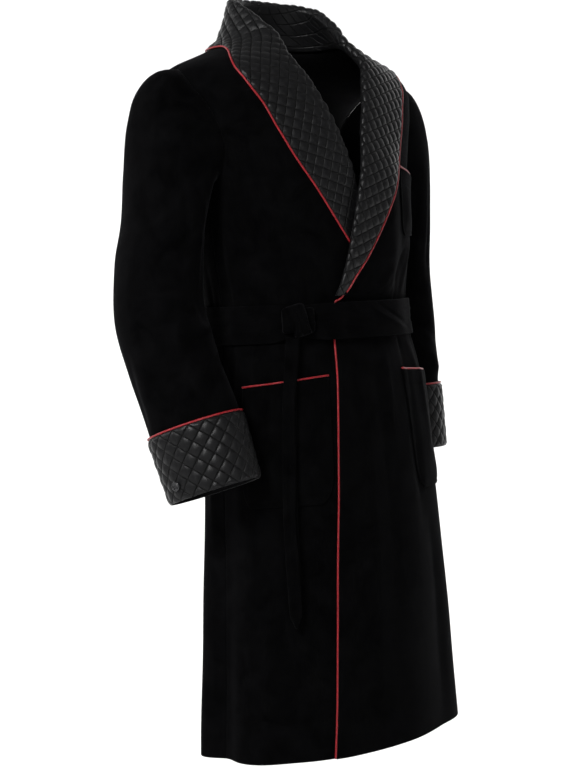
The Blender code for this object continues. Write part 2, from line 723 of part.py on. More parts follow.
def make_collar_piping(name, side):
    """Piping along the collar's outer edge, from the centre back to the break."""
    stations = collar_stations()
    stations = stations[stations <= (PIPING_SHARE_LEFT if side > 0 else PIPING_SHARE_RIGHT)]
    edge_angle, edge_z = collar_line(stations, 0.0)
    within_angle, within_z = collar_line(stations, 0.2)
    lift = left_lift(edge_angle, edge_z) if side > 0 else 0.0
    out = lift + LAY_GAP + SATIN / 2 + 0.0004
    edge = torso(edge_angle, edge_z, out)
    along_edge = np.gradient(edge, axis=0)
    along_edge /= np.linalg.norm(along_edge, axis=1, keepdims=True)
    outward = edge - torso(within_angle, within_z, out)
    outward -= along_edge * (outward * along_edge).sum(axis=1, keepdims=True)
    outward /= np.linalg.norm(outward, axis=1, keepdims=True)
    path = edge + outward * (PIPING_RADIUS + 2 * SEAM_GAP)
    path[0, 0] = SEAM_GAP / 2
    cord(name, mirrored(path, side), PIPING_RADIUS, PIPING_RED)


def make_front_piping():
    """Piping down the left front's edge, from the break to the hem."""
    z = np.linspace(-0.398, HEM_Z + 0.001, 80)
    angles = left_edge_angle(z)
    lift = left_lift(angles, z)
    edge = torso(angles, z, lift - VELVET / 2)
    beyond = torso(angles - 1.0, z, lift - VELVET / 2)
    outward = beyond - edge
    outward /= np.linalg.norm(outward, axis=1, keepdims=True)
    path = edge + outward * (PIPING_RADIUS + SEAM_GAP)
    cord("piping_front_edge", evenly(path, 0.025), PIPING_RADIUS, PIPING_RED)


def belt_out(angle):
    """Distance from the torso surface to the belt's inner face, over the lapped fronts and their edge."""
    rise = SKIRT_LIFT + 0.0040
    near_edge = smooth(angle, -33.0, -20.0)
    far_side = 1 - smooth(angle, 22.0, 44.0)
    return BELT_GAP + rise * near_edge * far_side


def make_belt():
    angles = np.linspace(-180, 180, 44, endpoint=False)
    heights = BELT_TOP_Z - BELT_WIDTH * np.array([0, 1 / 3, 2 / 3, 1])
    crown = np.array([0.0, 0.0008, 0.0008, 0.0])
    angle_grid, z = np.meshgrid(angles, heights)
    out = belt_out(angle_grid)
    outer = torso(angle_grid, z, out + BELT_THICKNESS + crown[:, None])
    inner = torso(angle_grid, z, out)
    wall("belt_band", outer, inner, VELVET_BLACK, closed=True)


def make_knot():
    """Flattened knot on the belt, a rounded block with a slanted wrap across it."""
    out = float(belt_out(KNOT_ANGLE)) + BELT_THICKNESS + KNOT_GAP + KNOT_SIZE[1] / 2
    centre = torso(KNOT_ANGLE, KNOT_Z, out)
    outward = torso(KNOT_ANGLE, KNOT_Z, 1.0) - torso(KNOT_ANGLE, KNOT_Z)
    across = np.cross(np.array([0.0, 0.0, 1.0]), outward)
    across /= np.linalg.norm(across)
    up = np.cross(outward, across)
    work = bmesh.new()
    bmesh.ops.create_icosphere(work, subdivisions=2, radius=1.0)
    for vertex in work.verts:
        x, y, z = vertex.co
        boxed = [math.copysign(abs(v) ** 0.72, v) for v in (x, y, z)]
        wrap = 1 + 0.16 * math.exp(-(((x * 0.8 + z * 0.6) / 0.34) ** 2))
        local = [boxed[0] * KNOT_SIZE[0] / 2, boxed[1] * KNOT_SIZE[1] / 2, boxed[2] * KNOT_SIZE[2] / 2]
        if y < 0:
            local[1] *= wrap
        vertex.co = centre + across * local[0] * wrap - outward * local[1] + up * local[2]
    vertices = [tuple(v.co) for v in work.verts]
    faces = [tuple(v.index for v in f.verts) for f in work.faces]
    work.free()
    new_object("belt_knot", vertices, faces, VELVET_BLACK)


def make_belt_end(name, rows):
    """Hanging end of the belt, folded lengthwise, with a pointed tip. rows hold angle, height and distance out."""
    angles, heights, outs = np.array(rows, float).T
    z = np.linspace(heights[0], heights[-1], 13)
    angle = np.interp(-z, -heights, angles)
    out = np.interp(-z, -heights, outs)
    middle = torso(angle, z, out + BELT_END_THICKNESS / 2)
    outward = torso(angle, z, 1.0) - torso(angle, z)
    down = np.gradient(middle, axis=0)
    across = np.cross(outward, down)
    across /= np.linalg.norm(across, axis=1, keepdims=True)
    half = np.full(len(z), BELT_END_WIDTH / 2)
    half[-2] *= 0.85
    half[-1] *= 0.15
    deep = BELT_END_THICKNESS / 2
    outline = ((-1, -0.5), (-0.6, -1), (0.6, -1), (1, -0.5), (1, 0.5), (0.6, 1), (-0.6, 1), (-1, 0.5))
    sides = len(outline)
    vertices = []
    for i in range(len(z)):
        for u, v in outline:
            vertices.append(middle[i] + across[i] * half[i] * u + outward[i] * deep * v)
    faces = [tuple(range(sides)), tuple((len(z) - 1) * sides + j for j in range(sides))]
    for i in range(len(z) - 1):
        for j in range(sides):
            k = (j + 1) % sides
            faces.append((i * sides + j, i * sides + k, (i + 1) * sides + k, (i + 1) * sides + j))
    new_object(name, vertices, faces, VELVET_BLACK)


def clear_scene():
    for obj in list(bpy.data.objects):
        bpy.data.objects.remove(obj, do_unlink=True)


def main():
    clear_scene()
    make_back()
    make_front_right()
    make_front_left()
    for label, side, table in (("right", -1, SLEEVE_BENT), ("left", 1, SLEEVE_HANGING)):
        make_collar("collar_" + label, side)
        make_collar_piping("piping_collar_" + label, side)
        make_sleeve("sleeve_" + label, table, side)
        make_cuff("cuff_" + label, table, side)
        make_cuff_piping("piping_cuff_" + label, table, side)
        make_button("button_cuff_" + label, table, side)
        make_pocket("pocket_hip_" + label, HIP_POCKET, side, side > 0)
        make_pocket_piping("piping_pocket_hip_" + label, HIP_POCKET, side, side > 0)
    make_pocket("pocket_breast", BREAST_POCKET, 1, True)
    make_pocket_piping("piping_pocket_breast", BREAST_POCKET, 1, True)
    make_front_piping()
    make_belt()
    make_knot()
    make_belt_end("belt_end_long", BELT_END_LONG)
    make_belt_end("belt_end_short", BELT_END_SHORT)


main()
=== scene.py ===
"""Looks of the velvet smoking jacket: quilted satin collar and cuffs, red piping, patch pockets, tied belt.

Metres, +Z up. The front faces -Y and the wearer's left is +X. Cloth is placed on one torso surface by an
angle round the body (0 front, 90 wearer's left, 180 back, -90 wearer's right), a height and a distance out.
"""

import math

import bpy
import numpy as np
from mathutils import Matrix, Vector


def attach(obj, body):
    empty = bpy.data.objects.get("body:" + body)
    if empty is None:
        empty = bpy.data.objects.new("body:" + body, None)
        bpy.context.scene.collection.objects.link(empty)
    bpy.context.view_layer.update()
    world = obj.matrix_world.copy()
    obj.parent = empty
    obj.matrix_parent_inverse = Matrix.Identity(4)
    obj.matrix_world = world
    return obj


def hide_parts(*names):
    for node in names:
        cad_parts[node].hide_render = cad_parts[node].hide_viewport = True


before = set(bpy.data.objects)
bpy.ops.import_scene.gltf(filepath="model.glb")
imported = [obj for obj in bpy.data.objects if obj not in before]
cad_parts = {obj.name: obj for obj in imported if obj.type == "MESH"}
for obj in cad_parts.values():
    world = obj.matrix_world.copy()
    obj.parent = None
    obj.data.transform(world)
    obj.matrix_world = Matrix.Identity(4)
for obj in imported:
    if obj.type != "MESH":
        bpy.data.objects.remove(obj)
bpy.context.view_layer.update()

# Driving sizes of the frame

HEM_Z = -1.083
VELVET = 0.002
SATIN = 0.002
SEAM_GAP = 0.0003
LAY_GAP = 0.0016
POCKET_GAP = 0.0012
CUFF_GAP = 0.0005
FACING_GAP = 0.0020
PIPING_RADIUS = 0.0015
TORSO_COLUMNS = ("z", "half_width", "side_y", "front_y", "back_y", "squareness")
TORSO = (
    (0.090, 0.070, 0.014, -0.030, 0.050, 0.00),
    (0.065, 0.078, 0.012, -0.045, 0.056, 0.00),
    (0.030, 0.096, 0.008, -0.072, 0.070, 0.00),
    (0.001, 0.122, 0.003, -0.088, 0.080, 0.00),
    (-0.016, 0.163, 0.000, -0.098, 0.089, 0.00),
    (-0.031, 0.203, -0.003, -0.108, 0.096, 0.01),
    (-0.044, 0.225, -0.006, -0.114, 0.100, 0.03),
    (-0.065, 0.235, -0.009, -0.123, 0.105, 0.05),
    (-0.100, 0.226, -0.013, -0.136, 0.110, 0.06),
    (-0.150, 0.205, -0.020, -0.148, 0.110, 0.07),
    (-0.205, 0.190, -0.026, -0.156, 0.106, 0.07),
    (-0.300, 0.186, -0.032, -0.160, 0.097, 0.06),
    (-0.430, 0.178, -0.038, -0.152, 0.084, 0.04),
    (-0.520, 0.192, -0.044, -0.168, 0.080, 0.04),
    (-0.640, 0.201, -0.048, -0.182, 0.076, 0.03),
    (-0.740, 0.207, -0.050, -0.190, 0.075, 0.03),
    (-1.083, 0.230, -0.050, -0.197, 0.072, 0.02),
)
# Folds of the skirt: angle, half width in degrees, depth at the belt and at the hem
FOLDS = (
    (-66, 10, 0.001, 0.004),
    (-88, 9, -0.003, -0.009),
    (-110, 11, 0.003, 0.013),
    (-134, 10, -0.004, -0.011),
    (-157, 12, 0.004, 0.012),
    (178, 11, -0.004, -0.011),
    (153, 12, 0.004, 0.013),
    (129, 10, -0.004, -0.010),
    (106, 11, 0.003, 0.011),
    (80, 10, -0.003, -0.010),
    (52, 12, 0.002, 0.008),
    (24, 10, -0.001, -0.005),
)
FOLD_TOP_Z = -0.300
COLLAR_COLUMNS = ("roll_angle", "roll_z", "style_angle", "style_z", "bulge", "facing_share")
COLLAR = (
    (180.0, 0.075, 180.0, -0.005, 0.0090, 0.80),
    (140.0, 0.073, 138.0, -0.005, 0.0090, 0.80),
    (105.0, 0.067, 105.0, -0.004, 0.0090, 0.80),
    (78.0, 0.057, 76.0, -0.007, 0.0090, 0.74),
    (54.0, 0.031, 55.0, -0.026, 0.0085, 0.56),
    (31.0, -0.009, 43.0, -0.056, 0.0080, 0.44),
    (17.5, -0.052, 37.5, -0.096, 0.0075, 0.38),
    (12.5, -0.100, 35.0, -0.140, 0.0070, 0.34),
    (8.0, -0.152, 30.5, -0.185, 0.0060, 0.30),
    (3.0, -0.205, 22.5, -0.232, 0.0050, 0.22),
    (-2.5, -0.262, 12.0, -0.284, 0.0045, 0.12),
    (-7.5, -0.320, 0.5, -0.334, 0.0042, 0.08),
    (-10.8, -0.357, -6.5, -0.361, 0.0040, 0.06),
    (-14.2, -0.390, -12.4, -0.390, 0.0040, 0.05),
)
PANEL_UNDER_ROLL = 0.14
PIPING_SHARE_LEFT = 0.99
PIPING_SHARE_RIGHT = 0.84
NECK_SEAM_Z = 0.006
FRONT_EDGE_COLUMNS = ("z", "left_over")
FRONT_EDGE = (
    (-0.390, 0.0440),
    (-0.451, 0.0525),
    (-0.563, 0.0670),
    (-0.695, 0.0820),
    (-0.800, 0.0925),
    (-0.903, 0.0995),
    (-1.000, 0.1055),
    (HEM_Z, 0.1130),
)
UNDER_EDGE = 0.050
LAPEL_LIFT = 0.0112
SKIRT_LIFT = 0.0045
ARMHOLE_MIDDLE_Z = -0.128
ARMHOLE_HALF_HEIGHT = 0.088
ARMHOLE_FRONT = 26.0
ARMHOLE_BACK = 37.0
# Sections of a sleeve: centre, half width across, half width deep and degrees turned inward
SLEEVE_BENT = (
    (0.246, 0.010, -0.270, 0.053, 0.081, 0),
    (0.262, 0.008, -0.335, 0.055, 0.077, 4),
    (0.275, -0.004, -0.405, 0.056, 0.073, 10),
    (0.271, -0.028, -0.475, 0.054, 0.071, 22),
    (0.2655, -0.057, -0.545, 0.050, 0.070, 34),
    (0.2635, -0.068, -0.572, 0.048, 0.071, 40),
    (0.2560, -0.098, -0.666, 0.042, 0.067, 45),
)
SLEEVE_HANGING = (
    (0.244, 0.014, -0.270, 0.052, 0.080, 0),
    (0.252, 0.024, -0.335, 0.053, 0.076, 0),
    (0.259, 0.027, -0.405, 0.055, 0.073, 0),
    (0.262, 0.023, -0.465, 0.055, 0.070, 0),
    (0.263, 0.019, -0.515, 0.055, 0.067, 0),
    (0.263, 0.017, -0.553, 0.055, 0.066, 0),
    (0.264, 0.012, -0.657, 0.056, 0.067, 0),
)
CAP_SHARES = (0.12, 0.28, 0.46, 0.72)
CAP_FULLNESS = {1: 0.75, -1: 0.80}
CAP_RISE = {1: 0.32, -1: 0.50}
# Pockets: angles of the front and side edges, heights of the mouth's ends and the bottom, lean in degrees
HIP_POCKET = (23.0, 70.0, -0.511, -0.523, -0.700, 3.0)
BREAST_POCKET = (31.5, 65.0, -0.195, -0.217, -0.302, 0.0)
POCKET_CORNER = 0.25
POCKET_ROUND = 0.16
BELT_TOP_Z = -0.400
BELT_WIDTH = 0.058
BELT_THICKNESS = 0.003
BELT_GAP = 0.0016
KNOT_ANGLE = -37.0
KNOT_Z = -0.425
KNOT_GAP = 0.0009
BELT_END_WIDTH = 0.019
BELT_END_THICKNESS = 0.005
# Hanging belt ends: angle, height and distance out
BELT_END_LONG = (
    (-41.2, -0.4515, 0.0114),
    (-42.5, -0.490, 0.0114),
    (-45.0, -0.540, 0.0120),
    (-48.0, -0.720, 0.0120),
    (-46.8, -0.820, 0.0108),
    (-46.0, -0.880, 0.0070),
)
BELT_END_SHORT = (
    (-40.2, -0.4515, 0.0054),
    (-41.5, -0.490, 0.0054),
    (-44.0, -0.540, 0.0060),
    (-47.0, -0.720, 0.0060),
    (-45.8, -0.820, 0.0046),
)
BUTTON_RADIUS = 0.007
BUTTON_THICKNESS = 0.003
BUTTON_TURN = 3.0
BUTTON_UP = 0.20
BUTTON_GAP = 0.0006

# Creases and gathers are listed in degrees and millimetres.

# Creases of the body, ridges and troughs: angle and height of both ends, bow, width and depth
BODY_CREASES = (
    # right front, from the armhole and the arm down to the belt
    (-66, -150, -60, -330, 6, 10, -3.2), (-72, -200, -70, -380, -4, 9, 3),
    (-79, -215, -82, -392, 4, 11, -4), (-58, -235, -45, -392, -6, 10, 2.8),
    (-50, -255, -36, -396, -5, 8, -2.8), (-40, -330, -30, -398, 3, 6, 2),
    (-60, -60, -64, -130, 6, 12, -2.2),
    # left front, the same a little shallower
    (64, -160, 58, -330, -6, 10, -3), (72, -205, 69, -385, 4, 10, 2.6),
    (80, -215, 83, -392, -4, 11, -3.6), (54, -300, 38, -396, 6, 9, 2.4),
    (40, -320, 22, -397, 4, 8, -2.6), (24, -352, 8, -397, 3, 6, 2),
    # back, blades to waist
    (-114, -170, -118, -390, -8, 11, -3.2), (-131, -210, -136, -394, 6, 14, 4.6),
    (-150, -270, -152, -396, 4, 10, -3.4), (-165, -300, -163, -397, -3, 9, 2.6),
    (176, -290, 178, -396, 3, 10, -3.2), (160, -310, 164, -396, 4, 9, 2.6),
    (146, -250, 150, -395, -5, 12, -3.6), (128, -200, 136, -392, 6, 12, 3.2),
    (116, -180, 122, -390, 8, 12, -4), (-140, -60, 140, -62, 10, 16, -1.6),
    # skirt under the belt
    (-20, -464, -24, -560, 3, 8, -2.4), (-30, -466, -33, -700, 5, 12, 2.6),
    (-52, -466, -57, -640, -4, 10, -3), (-63, -466, -70, -860, -6, 14, 3),
    (-76, -466, -81, -700, 4, 11, -3.4), (-95, -465, -98, -760, 6, 12, 3.6),
    (-104, -465, -108, -640, -3, 10, -3.2), (-122, -465, -124, -820, 6, 14, -3.8),
    (-146, -465, -147, -720, -5, 12, -3.4), (-168, -465, -168, -800, 5, 13, 3.2),
    (167, -465, 166, -700, -4, 12, 3.4), (141, -465, 142, -790, 6, 12, -3.6),
    (118, -465, 117, -690, 4, 11, 3.2), (96, -465, 98, -720, -5, 11, -3.4),
    (76, -466, 74, -660, 4, 11, 3), (62, -466, 64, -900, 5, 14, -3),
    (40, -466, 43, -640, -4, 11, 2.8), (30, -466, 30, -760, 5, 12, -2.6),
    (14, -466, 12, -600, 3, 9, 2.4), (4, -466, 4, -880, -4, 13, -2.2),
    (-4, -560, -6, -1060, 4, 16, 2.6),
    # long soft drapes down to the hem
    (-40, -760, -44, -1083, 6, 20, -4.2), (-18, -800, -22, -1083, -5, 18, 3.4),
    (-56, -820, -58, -1083, 4, 16, 4), (36, -760, 38, -1083, -6, 20, -4),
    (68, -880, 70, -1083, 4, 16, 3.6),
)
DEGREE_ON_BODY = 0.0033

# Short gathers where the belt draws the cloth in: angle, reach above and below the belt, width and depth
GATHERS = (
    (-174, 50, 60, 6, -2.2), (-162, 36, 75, 5, 1.6),
    (-151, 60, 50, 6.5, -2.4), (-138, 42, 66, 5.5, 1.8),
    (-127, 55, 40, 6, -2.2), (-113, 34, 80, 7, 1.8),
    (-101, 62, 52, 6, -2.6), (-90, 40, 62, 5, 1.4),
    (-80, 52, 45, 5.5, -2.4), (-70, 30, 70, 6, 1.6),
    (-61, 58, 38, 5, -2.2), (-53, 36, 60, 5.5, 1.8),
    (-45, 48, 50, 4.5, -2.2), (-31, 40, 58, 5, -2),
    (-23, 50, 36, 5, 1.4), (7, 46, 50, 5, -1.8),
    (17, 34, 72, 5.5, 1.6), (28, 56, 44, 5, -2.2),
    (37, 38, 64, 6, 1.6), (48, 60, 50, 5.5, -2.4),
    (59, 34, 42, 5, 1.6), (69, 50, 70, 6, -2.4),
    (82, 42, 48, 5.5, 1.4), (93, 60, 60, 6, -2.6),
    (106, 38, 74, 6, 1.8), (119, 54, 46, 6, -2.4),
    (133, 40, 60, 5.5, 1.8), (147, 50, 52, 6.5, -2.4),
    (160, 36, 66, 5.5, 1.6), (171, 52, 42, 5.5, -2),
)

# Creases of the sleeves: turn round the arm (0 outward, 90 front, 180 underarm, 270 back) and distance
# down the arm of both ends, bow, width and depth
SLEEVE_CREASES_BENT = (
    (60, 100, 78, 250, 6, 10, -3), (30, 20, 40, 160, -6, 12, 2.2),
    (98, 100, 110, 300, 5, 10, 3), (108, 170, 112, 330, -4, 8, -2.6),
    (136, 200, 140, 380, 0, 18, 9.2), (250, 100, 262, 320, 8, 12, -3),
    (285, 60, 290, 240, -6, 12, 2.4), (310, 140, 300, 360, 6, 12, -2.4),
    (120, 355, 40, 415, -10, 11, -5.8), (128, 385, 30, 470, -10, 10, 4.6),
    (125, 415, 42, 505, -8, 9, -5.2), (132, 345, 70, 345, 6, 9, 3.6),
    (100, 300, 20, 350, 6, 12, -3), (118, 450, 60, 530, -6, 9, 3.4),
    (8, 200, -6, 420, 8, 14, 2.6), (-20, 360, -34, 520, -6, 13, -2.6),
    (20, 430, 4, 540, 5, 10, -2.4), (240, 420, 200, 520, 6, 12, -3.2),
    (205, 380, 160, 420, -6, 11, 3.6), (215, 330, 150, 375, 6, 10, -3.6),
)
SLEEVE_CREASES_HANGING = (
    (58, 80, 74, 260, 6, 10, -2.8), (28, 20, 42, 170, -6, 12, 2.2),
    (96, 120, 104, 300, 5, 10, 2.6), (120, 140, 126, 330, -4, 9, -3),
    (248, 100, 258, 300, 8, 12, -3), (286, 60, 292, 260, -6, 12, 2.4),
    (316, 200, 304, 420, 6, 12, -2.6), (124, 340, 56, 375, -6, 10, -3.4),
    (130, 370, 50, 430, -6, 10, 3), (116, 410, 46, 480, -6, 9, -3.4),
    (12, 220, 2, 460, 6, 14, 2.4), (-18, 340, -26, 520, -6, 12, -2.4),
    (236, 380, 206, 500, 6, 12, -3), (200, 330, 160, 380, -6, 11, 3),
)
DEGREE_ON_SLEEVE = 0.00115

# Lengthwise pleats of the belt: angle and distance down from its top edge of both ends, bow, width and depth
BELT_CREASES = (
    (-180, 14, -84, 20, 3, 4, 1.2), (-170, 32, -60, 26, -3, 3.6, -1.4),
    (-150, 46, -50, 42, 2, 3.6, 1), (-76, 10, -38, 22, 2, 3.4, -1.4),
    (-64, 20, -37, 28, -1, 3, 1.4), (-60, 50, -38, 36, 2, 3, -1.4),
    (-36, 24, -6, 10, -2, 3.4, -1.4), (-36, 30, 4, 26, 2, 3.4, 1.4),
    (-36, 36, 0, 46, 2, 3.2, -1.4), (2, 4, 34, 52, -4, 4.6, 1.6),
    (8, 2, 40, 46, -4, 3.4, -1.6), (30, 40, 100, 34, 3, 3.6, -1.4),
    (36, 14, 120, 22, -3, 4, 1.2), (90, 46, 176, 40, 2, 3.6, 1),
    (110, 30, 180, 32, 3, 3.6, -1.4), (130, 12, 180, 14, 2, 3.6, 1),
)

# Quilting: length of a diamond along the collar, diamonds round and down a cuff, the cuffs' mean radius, how
# far the diamonds puff out, the share of one that its stitched line takes, and how round it is (1 for a sine)
QUILT_PITCH = 0.0212
CUFF_DIAMONDS_ROUND = 18
CUFF_DIAMONDS_DOWN = 4
CUFF_RADIUS = 0.062
QUILT_PUFF = 0.0028
QUILT_LINE = 0.075
QUILT_ROUNDNESS = 0.45

# Columns of a collar's grid: the fall up to the roll line, the bend of the roll and the facing turned in
FALL_COLUMNS = 52
ROLL_COLUMNS = 12
FACING_COLUMNS = 14
OUTSIDE_COLUMNS = FALL_COLUMNS + ROLL_COLUMNS

# Seams, knot and mesh: the overlap in degrees, the rest in metres and degrees of slant
SEAM_OVERLAP = 0.04
KNOT_SLANT = 14.0
KNOT_WRAP_HALF = 0.0135
KNOT_STANDING = 0.0012
PANEL_STEP = 0.0055
EDGE_ROUND = 0.0008

# Camera, as measured from the picture
CAMERA_AT = (-1.84011, -2.04365, -0.35995)
CAMERA_RIGHT = (0.743583, -0.667190, -0.044063)
CAMERA_UP = (0.073984, 0.016604, 0.997121)
CAMERA_BACK = (-0.664537, -0.744703, 0.061708)
CAMERA_LENS = 80.578

# Stage: height of the floor, its reach each way, and where it starts to curve up and how widely
FLOOR_Z = -1.42
STAGE_REACH = 9.0
CURVE_START = 2.2
CURVE_RADIUS = 1.2


def eased(t, first, leaving, last, arriving):
    """Hermite curve from first to last at t, with the steps it leaves and arrives with."""
    start = (1 + 2 * t) * (1 - t) ** 2 * first + t * (1 - t) ** 2 * leaving
    end = t * t * (3 - 2 * t) * last + t * t * (t - 1) * arriving
    return start + end


def unit(vectors):
    """The same directions, each of length 1."""
    return vectors / np.linalg.norm(vectors, axis=-1, keepdims=True)


def run_along(path):
    """Distance along a path at each of its points."""
    return np.concatenate([[0], np.cumsum(np.linalg.norm(np.diff(path, axis=0), axis=1))])


def column(table, name, names, at, key):
    """Smooth curve through one named column of a table, read at the given values of its key column."""
    keys = np.array([row[names.index(key)] for row in table], float)
    values = np.array([row[names.index(name)] for row in table], float)
    order = np.argsort(keys)
    keys, values = keys[order], values[order]
    slopes = np.gradient(values, keys)
    at = np.clip(np.asarray(at, float), keys[0], keys[-1])
    low = np.clip(np.searchsorted(keys, at) - 1, 0, len(keys) - 2)
    span = keys[low + 1] - keys[low]
    t = (at - keys[low]) / span
    return eased(t, values[low], span * slopes[low], values[low + 1], span * slopes[low + 1])


def along(table, names, name, share):
    """Smooth curve through one column of a table, read by share of its rows from 0 to 1."""
    rows = [(i / (len(table) - 1), row[names.index(name)]) for i, row in enumerate(table)]
    return column(rows, "value", ("share", "value"), share, "share")


def smooth(value, low, high):
    t = np.clip((np.asarray(value, float) - low) / (high - low), 0, 1)
    return t * t * (3 - 2 * t)


def wrapped(angle):
    return (np.asarray(angle, float) + 180.0) % 360.0 - 180.0


def fold_depth(angle, z):
    """How far the folds of the skirt stand out of the torso surface."""
    down = smooth(-z, -FOLD_TOP_Z, 0.47)
    to_hem = smooth(-z, 0.50, -HEM_Z)
    total = np.zeros(np.broadcast(angle, z).shape)
    for fold_angle, half_width, at_belt, at_hem in FOLDS:
        ridge = np.exp(-((wrapped(angle - fold_angle) / half_width) ** 2))
        total = total + ridge * down * (at_belt + (at_hem - at_belt) * to_hem)
    return total


def torso_base(angle, z):
    angle, z = np.broadcast_arrays(np.asarray(angle, float), np.asarray(z, float))
    turn = np.radians(angle)
    half, side, front, back, square = (
        column(TORSO, name, TORSO_COLUMNS, z, "z") for name in TORSO_COLUMNS[1:]
    )
    swell = 1 + square * np.sin(2 * turn) ** 2
    depth = np.where(np.cos(turn) > 0, side - front, back - side)
    out = 1 + fold_depth(angle, z) / 0.19
    x = half * np.sin(turn) * swell * out
    y = side - depth * np.cos(turn) * swell * out
    return np.stack([x, y, z], axis=-1)


def torso(angle, z, out=0.0):
    """Point of the torso surface, moved out along its normal."""
    angle, z, out = np.broadcast_arrays(
        np.asarray(angle, float), np.asarray(z, float), np.asarray(out, float)
    )
    step_angle, step_z = 0.5, 0.002
    across = torso_base(angle + step_angle, z) - torso_base(angle - step_angle, z)
    up = torso_base(angle, z + step_z) - torso_base(angle, z - step_z)
    return torso_base(angle, z) + unit(np.cross(across, up)) * out[..., None]


def angle_at(across, z):
    """Angle on the front of the torso that lies the given distance across from the centre line."""
    half = column(TORSO, "half_width", TORSO_COLUMNS, z, "z")
    return np.degrees(np.arcsin(np.clip(across / half, -1, 1)))


def left_lift(angle, z):
    """How far the wearer's left front stands out where it laps over the right one."""
    lapped = 1 - smooth(angle, 20.0, 36.0)
    height = LAPEL_LIFT + (SKIRT_LIFT - LAPEL_LIFT) * smooth(-np.asarray(z), 0.372, 0.402)
    return lapped * height * smooth(-np.asarray(z), 0.13, 0.22)


def lift_if(lapped, angle, z):
    """The same lift for a piece that belongs to the lapping front, and none for any other."""
    return left_lift(angle, z) * (1.0 if lapped else 0.0)


def collar_line(share_along, share_across):
    """Angle and height on the collar: centre back 0 to break 1, and style line 0 to roll line 1."""
    roll_angle, roll_z, style_angle, style_z = (
        along(COLLAR, COLLAR_COLUMNS, name, share_along) for name in COLLAR_COLUMNS[:4]
    )
    angle = style_angle + (roll_angle - style_angle) * share_across
    return angle, style_z + (roll_z - style_z) * share_across


def neckline_angle(z):
    """Angle of a front panel's inner edge, under the lapel's roll."""
    shares = np.linspace(0.15, 1, 120)
    angles, heights = collar_line(shares, 1 - PANEL_UNDER_ROLL)
    order = np.argsort(heights)
    return np.interp(z, heights[order], angles[order])


def armhole(turn_degrees, shrink=0.0):
    """Angle and height on the left armhole: 0 at the shoulder, 90 front, 180 underarm, 270 back."""
    turn = np.radians(turn_degrees)
    reach = np.where(np.sin(turn) >= 0, ARMHOLE_FRONT, ARMHOLE_BACK)
    angle = 90.0 - np.sin(turn) * (reach - math.degrees(shrink / 0.2))
    z = ARMHOLE_MIDDLE_Z + np.cos(turn) * (ARMHOLE_HALF_HEIGHT - shrink)
    return angle, z


def armhole_angle(z, reach):
    """Angle between the side line and the armhole's edge at a height."""
    level = np.clip((z - ARMHOLE_MIDDLE_Z) / ARMHOLE_HALF_HEIGHT, -1, 1)
    return reach * np.sqrt(1 - level**2)


def evenly(points, step):
    """The same path with a point every step along it."""
    points = np.asarray(points, float)
    run = run_along(points)
    count = max(2, int(round(run[-1] / step)) + 1)
    at = np.linspace(0, run[-1], count)
    return np.stack([np.interp(at, run, points[:, k]) for k in range(3)], axis=1)


def mirrored(points, side):
    return points * np.array([side, 1.0, 1.0])


def left_edge_angle(z):
    """Angle of the left front's edge, and of its neckline above the break."""
    across = column(FRONT_EDGE, "left_over", FRONT_EDGE_COLUMNS, z, "z")
    return np.where(np.asarray(z) < FRONT_EDGE[0][0], angle_at(-across, z), neckline_angle(z))


def covered(angle, z):
    """1 where the wearer's left lapel lies over a point of the right one, 0 well clear of it."""
    shares = np.linspace(0.3, 1, 80)
    roll_angles, heights = collar_line(shares, 1.0)
    order = np.argsort(heights)
    left_roll = np.interp(z, heights[order], roll_angles[order])
    return smooth(angle - left_roll, -6.0, -2.0) * smooth(-z, 0.17, 0.20)


def cap_leave(top, side):
    """Direction and strength with which the sleeve head leaves the armhole; top is 1 at the shoulder."""
    direction = np.stack([0.80 + 0.20 * top, 0 * top, -0.42 + CAP_RISE[side] * top], axis=1)
    return direction * (0.45 + CAP_FULLNESS[side] * top[:, None])


def sleeve_frames(table):
    """Centre, sideways and forward axes of each section of a sleeve."""
    centres = np.array([row[:3] for row in table])
    tangents = np.gradient(centres, axis=0)
    tangents[-1] = centres[-1] - centres[-2]
    tangents[-2] = tangents[-1]
    tangents = unit(tangents)
    sideways = unit(np.array([1.0, 0.0, 0.0]) - tangents * tangents[:, :1])
    forward = np.cross(tangents, sideways)
    return centres, tangents, sideways, forward


def sleeve_sections(table, turns, out=0.0):
    """Rings of points round the sleeve, one for each section of the table."""
    centres, _, sideways, forward = sleeve_frames(table)
    rings = []
    for row, centre, side_axis, front_axis in zip(table, centres, sideways, forward):
        half_across, half_deep, turned = row[3] + out, row[4] + out, math.radians(row[5])
        along_short = half_across * np.cos(turns - turned)
        along_long = half_deep * np.sin(turns - turned)
        across = along_short * math.cos(turned) - along_long * math.sin(turned)
        deep = along_short * math.sin(turned) + along_long * math.cos(turned)
        rings.append(centre + across[:, None] * side_axis + deep[:, None] * front_axis)
    return np.array(rings)


def grid_normals(grid):
    """Outward normals of a tube given as rings from top to bottom."""
    down = np.gradient(grid, axis=0)
    round_it = np.roll(grid, -1, axis=1) - np.roll(grid, 1, axis=1)
    normals = unit(np.cross(down, round_it))
    centre = grid.mean(axis=1, keepdims=True)
    inward = ((grid - centre) * normals).sum() < 0
    return -normals if inward else normals


def belt_out(angle):
    """Distance from the torso surface to the belt's inner face, over the lapped fronts and their edge."""
    rise = SKIRT_LIFT + 0.0040
    near_edge = smooth(angle, -33.0, -20.0)
    far_side = 1 - smooth(angle, 22.0, 44.0)
    return BELT_GAP + rise * near_edge * far_side


